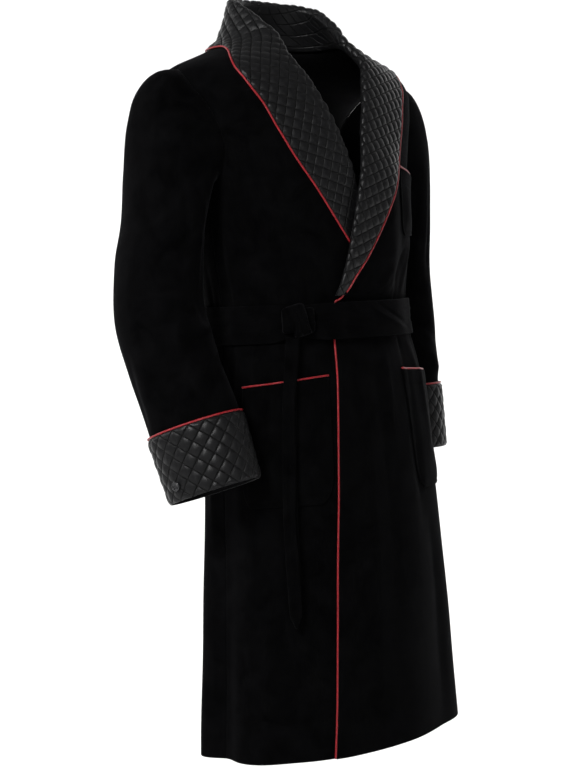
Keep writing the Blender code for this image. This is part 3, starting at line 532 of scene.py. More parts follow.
def crease_sum(table, x, y, degree, around=True):
    """Height of all creases of a table at points given in degrees and metres; degree is one in metres."""
    total = np.zeros(np.broadcast(x, y).shape)
    for x_a, y_a, x_b, y_b, *sizes in table:
        y_a, y_b, bow, width, depth = (length / 1000 for length in (y_a, y_b, *sizes))
        span = float(wrapped(x_b - x_a)) if around and abs(x_b - x_a) > 180 else x_b - x_a
        middle = x_a + span / 2
        off = wrapped(x - middle) if around else x - middle
        run_x, run_y = span * degree, y_b - y_a
        length = math.hypot(run_x, run_y)
        from_x, from_y = off * degree + run_x / 2, y - y_a
        share = (from_x * run_x + from_y * run_y) / length**2
        held = np.clip(share, 0, 1)
        sideways = (from_x * run_y - from_y * run_x) / length - bow * 4 * held * (1 - held)
        beyond = np.abs(share - held) * length / width
        across = sideways / (width * (0.75 + 0.5 * held))
        swell = np.sin(np.pi * (0.06 + 0.88 * held)) ** 0.7
        total += depth * swell * np.exp(-(across**2) - beyond**2) * (1 + 0.35 * np.tanh(across * 2))
    return total


def relief(angle, z):
    """How far creases and gathers move the body's cloth out of the torso surface."""
    angle, z = np.broadcast_arrays(np.asarray(angle, float), np.asarray(z, float))
    total = crease_sum(BODY_CREASES, angle, z, DEGREE_ON_BODY)
    top, bottom = BELT_TOP_Z, BELT_TOP_Z - BELT_WIDTH
    for gather, *sizes in GATHERS:
        above, below, width, depth = (length / 1000 for length in sizes)
        across = wrapped(angle - gather) * DEGREE_ON_BODY
        lean = 1 + 0.6 * np.clip(np.maximum(z - top, bottom - z) / 0.05, 0, 1)
        away = np.where(z > top, (z - top) / above, np.where(z < bottom, (bottom - z) / below, 0))
        total += depth * np.exp(-((across / (width * lean)) ** 2) - away**2 * 1.6)
    total += 0.0007 * np.sin(np.radians(angle * 5 + 40) + 9 * z) * np.sin(23 * z + 1.3)
    under_belt = smooth(z, bottom - 0.022, bottom - 0.002) * (1 - smooth(z, top + 0.002, top + 0.022))
    total = total * (1 - under_belt) + (np.minimum(total, 0) - 0.0004) * under_belt
    by_arm = np.exp(-(((np.abs(angle) - 88) / 20) ** 2))
    by_arm = by_arm * smooth(-z, 0.16, 0.20) * (1 - smooth(-z, 0.72, 0.80))
    return total - np.maximum(total, 0) * by_arm


def seam_dip(distance):
    """Cloth drawn in along a sewn seam."""
    return -0.0011 * np.exp(-((distance / 0.0035) ** 2))


def mesh_of(name, vertices, faces, materials, coordinates, skins=0, around=False):
    """Smooth mesh with a skin number for each face and, for each vertex, the weave's place in metres.

    Two more coordinates, where given, are the quilting's, which run on over the seam of a cuff (around).
    """
    mesh = bpy.data.meshes.new("vis_" + name)
    faces = faces if isinstance(faces, list) else faces.tolist()
    mesh.from_pydata(np.asarray(vertices, float).tolist(), [], faces)
    mesh.polygons.foreach_set("material_index", np.broadcast_to(skins, len(faces)).astype(np.int32))
    corner = np.empty(len(mesh.loops), np.int32)
    mesh.loops.foreach_get("vertex_index", corner)
    at_corner = np.asarray(coordinates, np.float32)[corner]
    mesh.uv_layers.new(name="Weave").data.foreach_set("uv", at_corner[:, :2].ravel())
    if at_corner.shape[1] > 2:
        quilt = at_corner[:, 2:].reshape(-1, 4, 2)
        low = quilt[..., 0] < quilt[..., 0].max(axis=1, keepdims=True) - CUFF_DIAMONDS_ROUND / 2
        quilt[..., 0] += CUFF_DIAMONDS_ROUND * low * around
        mesh.uv_layers.new(name="Quilt").data.foreach_set("uv", quilt.ravel())
    mesh.shade_smooth()
    for made in materials:
        mesh.materials.append(made)
    mesh.update()
    return linked("vis_" + name, mesh)


def linked(name, data):
    """New object of the scene from its data."""
    made = bpy.data.objects.new(name, data)
    bpy.context.scene.collection.objects.link(made)
    return made


def faced(piece, number, inside):
    """The piece, turned over if the face of that number looks towards the point inside."""
    face = piece.data.polygons[number]
    if np.dot(np.array(face.normal), np.array(face.center) - inside) < 0:
        piece.data.flip_normals()
    return piece


def ring_quads(rows, cols, closed=False):
    """Faces between neighbouring rings of points, and from the last ring to the first where closed."""
    index = np.arange(rows * cols).reshape(rows, cols)
    if closed:
        index = np.concatenate([index, index[:1]])
    a, b = index[:-1], index[1:]
    return np.stack([a, np.roll(a, -1, 1), np.roll(b, -1, 1), b], -1).reshape(-1, 4)


def capped_faces(rows, cols):
    """Faces between rings with a fan over each end; the fans' two middle points follow the rings."""
    faces = ring_quads(rows, cols).tolist()
    for start, centre in ((0, rows * cols), ((rows - 1) * cols, rows * cols + 1)):
        faces += [(start + k, start + (k + 1) % cols, centre) for k in range(cols)]
    return faces


def sheet_mesh(name, outer, inner, coordinates, materials, closed=False, edge_round=EDGE_ROUND):
    """Closed sheet between an outer and an inner grid of points, with a rounded edge all round."""
    rows, cols = outer.shape[:2]
    index = np.arange(rows * cols).reshape(rows, cols)
    i, j = np.meshgrid(np.arange(rows), np.arange(cols), indexing="ij")
    near = index[np.clip(i, 1, rows - 2), j if closed else np.clip(j, 1, cols - 2)].ravel()
    if closed:
        loops = [index[0], index[-1][::-1]]
    else:
        loops = [np.concatenate([index[0], index[1:, -1], index[-1, -2::-1], index[-2:0:-1, 0]])]
    front, rear = outer.reshape(-1, 3).copy(), inner.reshape(-1, 3).copy()
    uv = coordinates.reshape(-1, coordinates.shape[-1])
    right = np.roll(index, -1, axis=1) if closed else index[:, 1:]
    left = index if closed else index[:, :-1]
    a, b, c, d = (q.ravel() for q in (left[:-1], right[:-1], right[1:], left[1:]))
    quads = [np.stack([a, b, c, d], 1), np.stack([d, c, b, a], 1) + rows * cols]
    skins = [np.zeros(len(a), int), np.ones(len(a), int)]
    extra, extra_uv, start = [], [], 2 * rows * cols
    for loop in loops:
        edge, back = front[loop], rear[loop]
        outward = edge - outer.reshape(-1, 3)[near[loop]]
        reach = np.linalg.norm(outward, axis=1, keepdims=True)
        outward = outward / np.maximum(reach, 1e-9)
        inset = np.minimum(edge_round, 0.6 * reach)
        middle = (edge + back) / 2
        rings = [loop]
        for step in (1, 2, 3):
            turn = math.pi * step / 4
            shift = middle + (edge - middle) * math.cos(turn) - outward * inset * (1 - math.sin(turn))
            rings.append(start + np.arange(len(loop)))
            start += len(loop)
            extra.append(shift)
            extra_uv.append(uv[loop])
        rings.append(loop + rows * cols)
        front[loop] = edge - outward * inset
        rear[loop] = back - outward * inset
        for low, high in zip(rings, rings[1:]):
            quads.append(np.stack([low, high, np.roll(high, -1), np.roll(low, -1)], 1))
            skins.append(np.zeros(len(loop), int))
    points, coordinates = np.concatenate([front, rear] + extra), np.concatenate([uv, uv] + extra_uv)
    quads, skins = np.concatenate(quads), np.concatenate(skins)
    piece = mesh_of(name, points, quads, materials, coordinates, skins, closed)
    middle_face = (rows // 2) * (cols if closed else cols - 1) + cols // 2
    return faced(piece, middle_face, inner[rows // 2, cols // 2])


def cord_mesh(name, path, closed=False, radius=PIPING_RADIUS, sides=10):
    """Round piping through the points, with blunt ends where it is open."""
    path = np.asarray(path, float)
    tangents = unit((np.roll(path, -1, 0) - np.roll(path, 1, 0)) if closed else np.gradient(path, axis=0))
    run = run_along(path)
    radii = np.full(len(path), radius)
    if not closed:
        path = np.concatenate([path[:1], path, path[-1:]])
        tangents = np.concatenate([tangents[:1], tangents, tangents[-1:]])
        radii = np.concatenate([[radius * 0.05], radii, [radius * 0.05]])
        run = np.concatenate([[0], run, run[-1:]])
    guide = np.array([0.0, 0.0, 1.0]) if abs(tangents[0][2]) < 0.8 else np.array([1.0, 0.0, 0.0])
    turns = 2 * np.pi * np.arange(sides) / sides
    rings = []
    for point, tangent, thick in zip(path, tangents, radii):
        guide = unit(guide - tangent * guide.dot(tangent))
        other = np.cross(tangent, guide)
        rings.append(point + thick * (np.cos(turns)[:, None] * guide + np.sin(turns)[:, None] * other))
    count = len(rings)
    uv = np.stack(np.broadcast_arrays(run[:, None], (turns * radius)[None]), -1)
    quads = ring_quads(count, sides, closed)
    piece = mesh_of(name, np.concatenate(rings), quads, [piping], uv.reshape(-1, 2))
    return faced(piece, sides * (count // 2), np.array(rings[count // 2]).mean(axis=0))


# Materials

GLOSS_SPREAD = 0.08


def node(tree, kind, **inputs):
    """New node with the given input values; an underscore stands for a blank in an input's name."""
    made = tree.nodes.new(kind)
    for key, value in inputs.items():
        made.inputs[key.replace("_", " ")].default_value = value
    return made


def shader_of(name, roughness, specular, sheen=0.0, sheen_roughness=0.3, sheen_tint=(1, 1, 1, 1), coat=0.0):
    made = bpy.data.materials.new(name)
    made.use_nodes = True
    shader = made.node_tree.nodes["Principled BSDF"]
    for key, value in (
        ("Roughness", roughness),
        ("Specular IOR Level", specular),
        ("Sheen Weight", sheen),
        ("Sheen Roughness", sheen_roughness),
        ("Sheen Tint", sheen_tint),
        ("Coat Weight", coat),
        ("Coat Roughness", 0.12),
    ):
        shader.inputs[key].default_value = value
    return made, made.node_tree, shader


def mixed_colour(tree, factor, low, high):
    """Colour between two values by a factor socket."""
    ramp = tree.nodes.new("ShaderNodeValToRGB")
    ramp.color_ramp.elements[0].position = 0.3
    ramp.color_ramp.elements[1].position = 0.7
    ramp.color_ramp.elements[0].color = (*low, 1)
    ramp.color_ramp.elements[1].color = (*high, 1)
    tree.links.new(factor, ramp.inputs["Fac"])
    return ramp.outputs["Color"]


def object_place(tree):
    """Place of a point in the object's own metres."""
    return node(tree, "ShaderNodeTexCoord").outputs["Object"]


def noise(tree, place, **inputs):
    made = node(tree, "ShaderNodeTexNoise", **inputs)
    tree.links.new(place, made.inputs["Vector"])
    return made.outputs["Fac"]


def weave(tree, **inputs):
    """Slanting threads over the cloth."""
    place = node(tree, "ShaderNodeUVMap")
    place.uv_map = "Weave"
    threads = node(tree, "ShaderNodeTexWave", **inputs)
    threads.bands_direction = "DIAGONAL"
    tree.links.new(place.outputs["UV"], threads.inputs["Vector"])
    return threads.outputs["Fac"]


def bump(tree, height, distance, strength, under=None):
    made = node(tree, "ShaderNodeBump", Distance=distance, Strength=strength)
    tree.links.new(height, made.inputs["Height"])
    if under is not None:
        tree.links.new(under, made.inputs["Normal"])
    return made.outputs["Normal"]


def velvet_material():
    """Black velvet: dark upright nap that catches a grey edge, brushed a little lighter here and there."""
    made, tree, shader = shader_of("velvet", 0.95, 0.015, 0.028, 0.34, (0.80, 0.80, 0.86, 1))
    place = object_place(tree)
    nap = noise(tree, place, Scale=1500.0, Detail=2.0, Roughness=0.6)
    brushed = noise(tree, place, Scale=26.0, Detail=4.0, Roughness=0.62, Distortion=0.6)
    colour = mixed_colour(tree, brushed, (0.0006, 0.0006, 0.0007), (0.0020, 0.0020, 0.0022))
    tree.links.new(colour, shader.inputs["Base Color"])
    soft = bump(tree, brushed, 0.0008, 0.5)
    tree.links.new(bump(tree, nap, 0.00035, 0.8, soft), shader.inputs["Normal"])
    return made


def math_node(tree, operation, first, second=None, third=None):
    made = tree.nodes.new("ShaderNodeMath")
    made.operation = operation
    for slot, value in enumerate((first, second, third)):
        if isinstance(value, float):
            made.inputs[slot].default_value = value
        elif value is not None:
            tree.links.new(value, made.inputs[slot])
    return made.outputs[0]


def quilt_lines(tree):
    """0 on the two families of stitched lines, 1 on the puffs, and the thread showing along the lines."""
    place = node(tree, "ShaderNodeUVMap")
    place.uv_map = "Quilt"
    parts = tree.nodes.new("ShaderNodeSeparateXYZ")
    tree.links.new(place.outputs["UV"], parts.inputs["Vector"])
    turned = [math_node(tree, kind, parts.outputs["X"], parts.outputs["Y"]) for kind in ("ADD", "SUBTRACT")]
    away = [math_node(tree, "PINGPONG", value, 0.5) for value in turned]
    stitch = [math_node(tree, "PINGPONG", math_node(tree, "MULTIPLY", value, 6.0), 0.5) for value in turned]
    clear, thread = [], []
    for own, other in ((0, 1), (1, 0)):
        from_line = math_node(tree, "DIVIDE", away[own], QUILT_LINE)
        clear.append(math_node(tree, "SMOOTH_MIN", from_line, 1.0, 0.1))
        on_line = math_node(tree, "LESS_THAN", away[own], QUILT_LINE * 0.3)
        in_stitch = math_node(tree, "GREATER_THAN", stitch[other], 0.14)
        thread.append(math_node(tree, "MULTIPLY", on_line, in_stitch))
    return math_node(tree, "MULTIPLY", *clear), math_node(tree, "MAXIMUM", *thread)


def satin_material(name, low, high, roughness, specular, quilted=False):
    """Satin with a fine diagonal weave, small pulls and slightly uneven gloss; when quilted, painted shade
    darkens it along the stitched lines.
    """
    made, tree, shader = shader_of(name, roughness, specular, sheen=0.015, sheen_roughness=0.25)
    place = object_place(tree)
    threads = weave(tree, Scale=420.0, Distortion=0.6, Detail=1.0)
    pulls = noise(tree, place, Scale=210.0, Detail=3.0, Roughness=0.55)
    wide = noise(tree, place, Scale=40.0, Detail=2.0)
    colour = mixed_colour(tree, pulls, low, high)
    gloss = node(tree, "ShaderNodeMapRange", To_Min=roughness - GLOSS_SPREAD, To_Max=roughness + GLOSS_SPREAD)
    tree.links.new(wide, gloss.inputs["Value"])
    rough = gloss.outputs["Result"]
    soft = bump(tree, pulls, 0.0006, 0.35)
    if quilted:
        clear, thread = quilt_lines(tree)
        # Painted shade: along the stitched lines of the quilting the colour is mixed to near black (0.0008),
        # in place of the shade that falls into the grooves.
        groove_painted_shade = tree.nodes.new("ShaderNodeMix")
        groove_painted_shade.data_type = "RGBA"
        groove_painted_shade.inputs["A"].default_value = (0.0008, 0.0008, 0.0008, 1)
        tree.links.new(clear, groove_painted_shade.inputs["Factor"])
        tree.links.new(colour, groove_painted_shade.inputs["B"])
        colour = groove_painted_shade.outputs["Result"]
        rough = math_node(tree, "MULTIPLY_ADD", math_node(tree, "SUBTRACT", 1.0, clear), 0.42, rough)
        soft = bump(tree, math_node(tree, "MULTIPLY_ADD", thread, 0.25, clear), 0.0011, 1.0, soft)
    tree.links.new(colour, shader.inputs["Base Color"])
    tree.links.new(rough, shader.inputs["Roughness"])
    tree.links.new(bump(tree, threads, 0.00010, 0.5, soft), shader.inputs["Normal"])
    return made


def piping_material():
    """Red satin wound tight over a cord: fine slanting threads of slightly uneven colour."""
    made, tree, shader = shader_of("piping", 0.36, 0.34, 0.04, 0.3, (1.0, 0.6, 0.6, 1))
    threads = weave(tree, Scale=330.0, Distortion=1.2, Detail=2.0)
    uneven = noise(tree, object_place(tree), Scale=320.0, Detail=3.0)
    colour = mixed_colour(tree, uneven, (0.16, 0.003, 0.006), (0.31, 0.010, 0.016))
    tree.links.new(colour, shader.inputs["Base Color"])
    tree.links.new(bump(tree, threads, 0.00025, 0.6), shader.inputs["Normal"])
    return made


def button_material():
    made, tree, shader = shader_of("button", 0.20, 0.35, coat=0.15)
    wear = noise(tree, object_place(tree), Scale=700.0, Detail=4.0)
    colour = mixed_colour(tree, wear, (0.007, 0.007, 0.008), (0.016, 0.016, 0.017))
    tree.links.new(colour, shader.inputs["Base Color"])
    tree.links.new(bump(tree, wear, 0.00012, 0.3), shader.inputs["Normal"])
    return made


velvet = velvet_material()
quilted_satin = satin_material(
    "quilted_satin", (0.0035, 0.0035, 0.0039), (0.0065, 0.0065, 0.0069), 0.37, 0.16, quilted=True
)
lining = satin_material("lining", (0.002, 0.002, 0.0022), (0.004, 0.004, 0.0044), 0.60, 0.06)
piping = piping_material()
button_black = button_material()


def keep(piece):
    """Seat a piece on the one body, in place of the CAD node that it is named after."""
    node_name = piece.name.removeprefix("vis_")
    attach(piece, "root")
    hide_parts(node_name)


# Panels


def fine_heights():
    """Heights of the rows of every panel, closest where the armhole turns."""
    _, armhole_z = armhole(np.linspace(0, 180, 47))
    shoulder = np.linspace(NECK_SEAM_Z, armhole_z[0], 10)[:-1]
    skirt = np.linspace(armhole_z[-1], HEM_Z, int((armhole_z[-1] - HEM_Z) / PANEL_STEP))
    return np.concatenate([shoulder, armhole_z, skirt[1:]])


def side_dip(angle, z):
    """Seam groove along the side line, and round the armhole."""
    low = (np.abs(z - ARMHOLE_MIDDLE_Z) >= ARMHOLE_HALF_HEIGHT).astype(float)
    side = seam_dip((np.abs(angle) - 90) * DEGREE_ON_BODY) * low * 0.4
    reach = np.where(np.abs(angle) < 90, ARMHOLE_FRONT, ARMHOLE_BACK)
    across = (np.abs(angle) - 90) / reach
    level = (z - ARMHOLE_MIDDLE_Z) / ARMHOLE_HALF_HEIGHT
    from_edge = (np.hypot(across, level) - 1) * 0.5 * (ARMHOLE_HALF_HEIGHT + reach * DEGREE_ON_BODY)
    return side + seam_dip(from_edge)


def panel(name, angles, z, lift):
    """Velvet sheet on the torso surface, creased and drawn in along its seams."""
    face = lift + relief(angles, z) + side_dip(angles, z)
    outer, inner = torso(angles, z, face), torso(angles, z, face - VELVET)
    coordinates = np.stack([angles * DEGREE_ON_BODY, z], axis=-1)
    keep(sheet_mesh(name, outer, inner, coordinates, [velvet, lining]))


def make_back():
    heights = fine_heights()
    edge = 90.0 - SEAM_OVERLAP + armhole_angle(heights, ARMHOLE_BACK)
    shares = np.linspace(0, 1, 112)
    angles = edge[:, None] + (360.0 - 2 * edge[:, None]) * shares[None, :]
    z = np.repeat(heights[:, None], len(shares), axis=1)
    panel("back", angles, z, 0.0)


def make_front(name, side, inner_edge, lapped):
    heights = fine_heights()
    outer_edge = 90.0 + SEAM_OVERLAP - armhole_angle(heights, ARMHOLE_FRONT)
    shares = np.linspace(0, 1, 68)
    angles = outer_edge[:, None] + (inner_edge(heights) - outer_edge)[:, None] * shares[None, :]
    z = np.repeat(heights[:, None], len(shares), axis=1)
    panel(name, side * angles, z, lift_if(lapped, angles, z))


def under_edge_angle(z):
    """Angle of the right front's inner edge, which lies under the left front."""
    return np.maximum(neckline_angle(z), angle_at(-UNDER_EDGE, z))


# Collar


def collar_stations(step=0.0019):
    """Shares along the collar and the run along its middle line, a small step apart."""
    shares = np.linspace(0, 1, 400)
    angle, z = collar_line(shares, 0.5)
    run = run_along(torso(angle, z))
    even = np.linspace(0, run[-1], int(run[-1] / step))
    return np.interp(even, run, shares), even


def collar_section(stations, side, skin, puff):
    """Grid from the style line over the roll to the end of the facing; puff is the quilt's height on it."""
    share = stations[:, None]
    across = np.linspace(0, 1, FALL_COLUMNS)[None, :]
    turn = np.radians(np.linspace(14, 166, ROLL_COLUMNS))[None, :]
    bulge = along(COLLAR, COLLAR_COLUMNS, "bulge", share)
    facing = along(COLLAR, COLLAR_COLUMNS, "facing_share", share)
    angle, z = collar_line(share, across)
    crease = relief(side * angle, z)
    flat = LAY_GAP + SATIN
    loose = 1.0 if side > 0 else 1 - covered(-angle, z)
    height = flat + (bulge - flat) * smooth(across, 0.2, 1.0) * loose
    lift = lift_if(side > 0, angle, z)
    inside = -VELVET - FACING_GAP - SATIN
    fall = torso(side * angle, z, lift + crease + height - skin * SATIN + puff[:, :FALL_COLUMNS])
    end_angle, end_z = angle[:, -1], z[:, -1]
    roll = torso(side * end_angle, end_z)
    out = torso(side * end_angle, end_z, 1.0) - roll
    onward = roll - torso(side * angle[:, -3], z[:, -3])
    onward = unit(onward - out * (onward * out).sum(axis=1, keepdims=True))
    middle = (height[:, -1] + inside) / 2 + lift[:, -1] + crease[:, -1]
    radius = (height[:, -1:] - inside) / 2 - skin * SATIN + puff[:, FALL_COLUMNS:]
    bend = (
        roll[:, None]
        + out[:, None] * (middle[:, None] + radius * np.cos(turn))[..., None]
        + onward[:, None] * (radius * np.sin(turn))[..., None]
    )
    back_share = 1 - 0.02 - (np.maximum(facing, 0.03) - 0.02) * np.linspace(0, 1, FACING_COLUMNS)[None, :]
    back_angle, back_z = collar_line(share, back_share)
    back_lift = lift_if(side > 0, back_angle, back_z)
    back_out = back_lift + relief(side * back_angle, back_z) + inside + skin * SATIN
    return np.concatenate([fall, bend, torso(side * back_angle, back_z, back_out)], axis=1)


def pillow(a, b, hold_a=0.0, hold_b=0.0):
    """Puffs between stitched lines at the whole numbers of a and b; hold keeps the cloth up over a family."""
    lines_a = hold_a + (1 - hold_a) * np.abs(np.sin(np.pi * a)) ** QUILT_ROUNDNESS
    lines_b = hold_b + (1 - hold_b) * np.abs(np.sin(np.pi * b)) ** QUILT_ROUNDNESS
    return lines_a * lines_b


def unrolled(grid, across, middle, straight_at):
    """Flat cutting pattern of a strip given as sections, turned so that it runs straight at one station."""
    forward = unit(np.gradient(grid[:, middle], axis=0))
    section = unit(grid[:, middle + 8] - grid[:, middle - 8])
    skew = np.arccos(np.clip((forward * section).sum(axis=1), -1, 1))
    low, high = middle - 20, middle + 20
    run_low, run_high, run_middle = (
        np.linalg.norm(np.diff(grid[:, line], axis=0), axis=1) for line in (low, high, middle)
    )
    gap = np.maximum(across[:, high] - across[:, low], 0.006)[:-1]
    bend = -(run_high - run_low) / (gap * np.sin(skew[:-1]))
    turned = np.concatenate([[0], np.cumsum(bend)]) + skew[0]
    heading = turned - skew
    shift = heading[straight_at]
    heading, turned = heading - shift, turned - shift
    x = np.concatenate([[0], np.cumsum(run_middle * np.cos(heading[:-1]))])
    y = np.concatenate([[0], np.cumsum(run_middle * np.sin(heading[:-1]))])
    off = across - across[:, middle : middle + 1]
    return x[:, None] + off * np.cos(turned)[:, None], y[:, None] + off * np.sin(turned)[:, None]


def make_collar(label, side):
    stations, run = collar_stations()
    flat = np.zeros((len(stations), OUTSIDE_COLUMNS))
    plain = collar_section(stations, side, 0, flat)
    steps = np.linalg.norm(np.diff(plain, axis=1), axis=2)
    across = np.concatenate([np.zeros((len(stations), 1)), np.cumsum(steps, axis=1)], axis=1)
    flat_x, flat_y = unrolled(plain, across, FALL_COLUMNS // 2, int(len(stations) * 0.66))
    a, b = ((flat_x + way * flat_y)[:, :OUTSIDE_COLUMNS] / QUILT_PITCH for way in (1, -1))
    turned = np.concatenate([np.zeros(FALL_COLUMNS), np.linspace(0, 1, ROLL_COLUMNS)])[None, :]
    width = across[:, FALL_COLUMNS - 1 : FALL_COLUMNS]
    puff = QUILT_PUFF * pillow(a, b) * np.minimum(1, width / 0.03)
    puff = puff * smooth(across[:, :OUTSIDE_COLUMNS], 0.0, 0.004) * (1 - smooth(turned, 0.35, 0.9))
    puff = puff * smooth(run[-1] - run, 0.0, 0.012)[:, None]
    if side < 0:
        angle, z = collar_line(stations[:, None], np.linspace(0, 1, FALL_COLUMNS)[None, :])
        loose = 1 - covered(-angle, z)
        puff = puff * np.concatenate([loose, np.repeat(loose[:, -1:], ROLL_COLUMNS, axis=1)], axis=1)
    outer = collar_section(stations, side, 0, puff)
    inner = collar_section(stations, side, 1, flat)
    for grid in (outer, inner):
        grid[0, :, 0] = side * SEAM_GAP / 2
    coordinates = np.zeros(outer.shape[:2] + (4,))
    coordinates[..., 0] = run[:, None]
    coordinates[..., 1] = np.concatenate([[0], np.cumsum(steps.mean(axis=0))])[None, :]
    coordinates[..., 2], coordinates[..., 3] = flat_x / QUILT_PITCH, flat_y / QUILT_PITCH
    keep(sheet_mesh("collar_" + label, outer, inner, coordinates, [quilted_satin, lining]))


def make_collar_piping(label, side):
    stations, _ = collar_stations(0.0035)
    stations = stations[stations <= (PIPING_SHARE_LEFT if side > 0 else PIPING_SHARE_RIGHT)]
    angle, z = collar_line(stations, 0.0)
    within_angle, within_z = collar_line(stations, 0.2)
    out = lift_if(side > 0, angle, z) + LAY_GAP + SATIN / 2 + 0.0004 + relief(side * angle, z)
    edge = torso(side * angle, z, out)
    forward = unit(np.gradient(edge, axis=0))
    outward = edge - torso(side * within_angle, within_z, out)
    outward = unit(outward - forward * (outward * forward).sum(axis=1, keepdims=True))
    path = edge + outward * (PIPING_RADIUS + SEAM_GAP)
    path[0, 0] = side * SEAM_GAP / 2
    keep(cord_mesh("piping_collar_" + label, path))


# Sleeves


def sleeve_rings(table, turns, side):
    """Rings of the whole sleeve, from the armhole over the cap and down the arm to the table's last row."""
    degrees = np.degrees(turns)
    sections = sleeve_sections(table, turns)
    angle, z = armhole(degrees, -0.0004)
    start = torso(angle, z, relief(side * angle, z) + seam_dip(0.0) - 0.0004)
    tangents = sleeve_frames(table)[1]
    top = (1 + np.cos(turns)) / 2
    leave = cap_leave(top, side)
    reach = np.linalg.norm(sections[0] - start, axis=1)[:, None]
    leaving, arriving = leave * reach, tangents[0] * reach
    rings = [eased(t, start, leaving, sections[0], arriving) for t in (0.0,) + CAP_SHARES]
    return np.concatenate([np.array(rings), sections])


def smooth_rings(rings, step):
    """The same tube with rings a small step apart, straight where the last two lie."""
    gaps = np.linalg.norm(np.diff(rings, axis=0), axis=2).mean(axis=1)
    knots = np.concatenate([[0], np.cumsum(gaps)])
    slopes = np.gradient(rings, knots, axis=0)
    slopes[-1] = slopes[-2] = (rings[-1] - rings[-2]) / (knots[-1] - knots[-2])
    at = np.linspace(0, knots[-1], int(knots[-1] / step))
    low = np.clip(np.searchsorted(knots, at) - 1, 0, len(knots) - 2)
    span = (knots[low + 1] - knots[low])[:, None, None]
    t = (at - knots[low])[:, None, None] / span
    fine = eased(t, rings[low], span * slopes[low], rings[low + 1], span * slopes[low + 1])
    return fine, at, knots[-2]


def make_sleeve(label, table, creases, side):
    turns = np.linspace(0, 2 * np.pi, 132, endpoint=False)
    grid, down, cuff_start = smooth_rings(sleeve_rings(table, turns, side), 0.0052)
    normals = grid_normals(grid)
    degrees = np.degrees(turns)[None, :]
    rise = crease_sum(creases, degrees, down[:, None], DEGREE_ON_SLEEVE)
    rise += 0.0006 * np.sin(np.radians(degrees * 4) + 30 * down[:, None]) * np.sin(24 * down[:, None] + 0.7)
    under_cuff = smooth(down, cuff_start - 0.030, cuff_start - 0.004)[:, None]
    near_cuff = 1 - 0.6 * under_cuff
    rise = np.where(under_cuff > 0, rise * near_cuff * (1 - under_cuff) - 0.0012 * under_cuff, rise)
    rise *= smooth(down, 0.0, 0.02)[:, None]
    toward_body = np.exp(-(((degrees - 190) / 60) ** 2))
    rise = rise - np.maximum(rise, 0) * toward_body * 0.7
    seam = seam_dip((degrees - 186) * DEGREE_ON_SLEEVE) * smooth(down, 0.0, 0.03)[:, None]
    outer = grid + normals * (rise + seam)[..., None]
    inner = outer - VELVET * normals
    coordinates = np.stack(np.broadcast_arrays(degrees * DEGREE_ON_SLEEVE, down[:, None]), axis=-1)
    outer, inner = mirrored(outer, side), mirrored(inner, side)
    keep(sheet_mesh("sleeve_" + label, outer, inner, coordinates, [velvet, lining], closed=True))


def cuff_grid(table, turns, shares, out):
    """Rings of a cuff, from its upper edge down to 2 mm past the sleeve's end."""
    top, bottom = sleeve_sections(table, turns, out)[-2:]
    past_end = unit(bottom - top) * 0.002
    return top + (bottom + past_end - top) * shares[:, None, None]


def make_cuff(label, table, side):
    turns = np.linspace(0, 2 * np.pi, 252, endpoint=False)
    shares = np.linspace(0, 1, 66)
    plain = cuff_grid(table, turns, shares, CUFF_GAP + SATIN)
    a = turns[None, :] / (2 * np.pi) * CUFF_DIAMONDS_ROUND
    b = shares[:, None] * CUFF_DIAMONDS_DOWN
    height = np.linalg.norm(np.array(table[-1][:3]) - np.array(table[-2][:3]))
    from_edge = np.minimum(shares, 1 - shares)[:, None] * height
    puff = QUILT_PUFF * pillow(a + b, a - b, 0.0, 0.35) * smooth(from_edge, 0.0, 0.005)
    puff = puff * (1.12 - 0.24 * shares[:, None])
    outer = plain + grid_normals(plain) * puff[..., None]
    inner = cuff_grid(table, turns, shares, CUFF_GAP)
    around = (turns * CUFF_RADIUS)[None, :]
    coordinates = np.stack(np.broadcast_arrays(around, shares[:, None] * height, a, b), axis=-1)
    outer, inner = mirrored(outer, side), mirrored(inner, side)
    made = sheet_mesh("cuff_" + label, outer, inner, coordinates, [quilted_satin, lining], closed=True)
    keep(made)


def make_cuff_piping(label, table, side):
    turns = np.linspace(0, 2 * np.pi, 150, endpoint=False)
    out = CUFF_GAP + PIPING_RADIUS + SEAM_GAP
    top, bottom = sleeve_sections(table, turns, out)[-2:]
    path = mirrored(top + unit(top - bottom) * (PIPING_RADIUS + SEAM_GAP), side)
    keep(cord_mesh("piping_cuff_" + label, path, closed=True))


# Turned profile of a button: share of its radius and share of its thickness, from the back over the rim
BUTTON_PROFILE = (
    (0.00, 0.00), (0.80, 0.00), (0.95, 0.12), (1.00, 0.40), (0.97, 0.75), (0.88, 0.95),
    (0.76, 1.00), (0.66, 0.92), (0.60, 0.72), (0.45, 0.62), (0.25, 0.58), (0.00, 0.57),
)
BUTTON_RINGS = 46
BUTTON_SIDES = 64


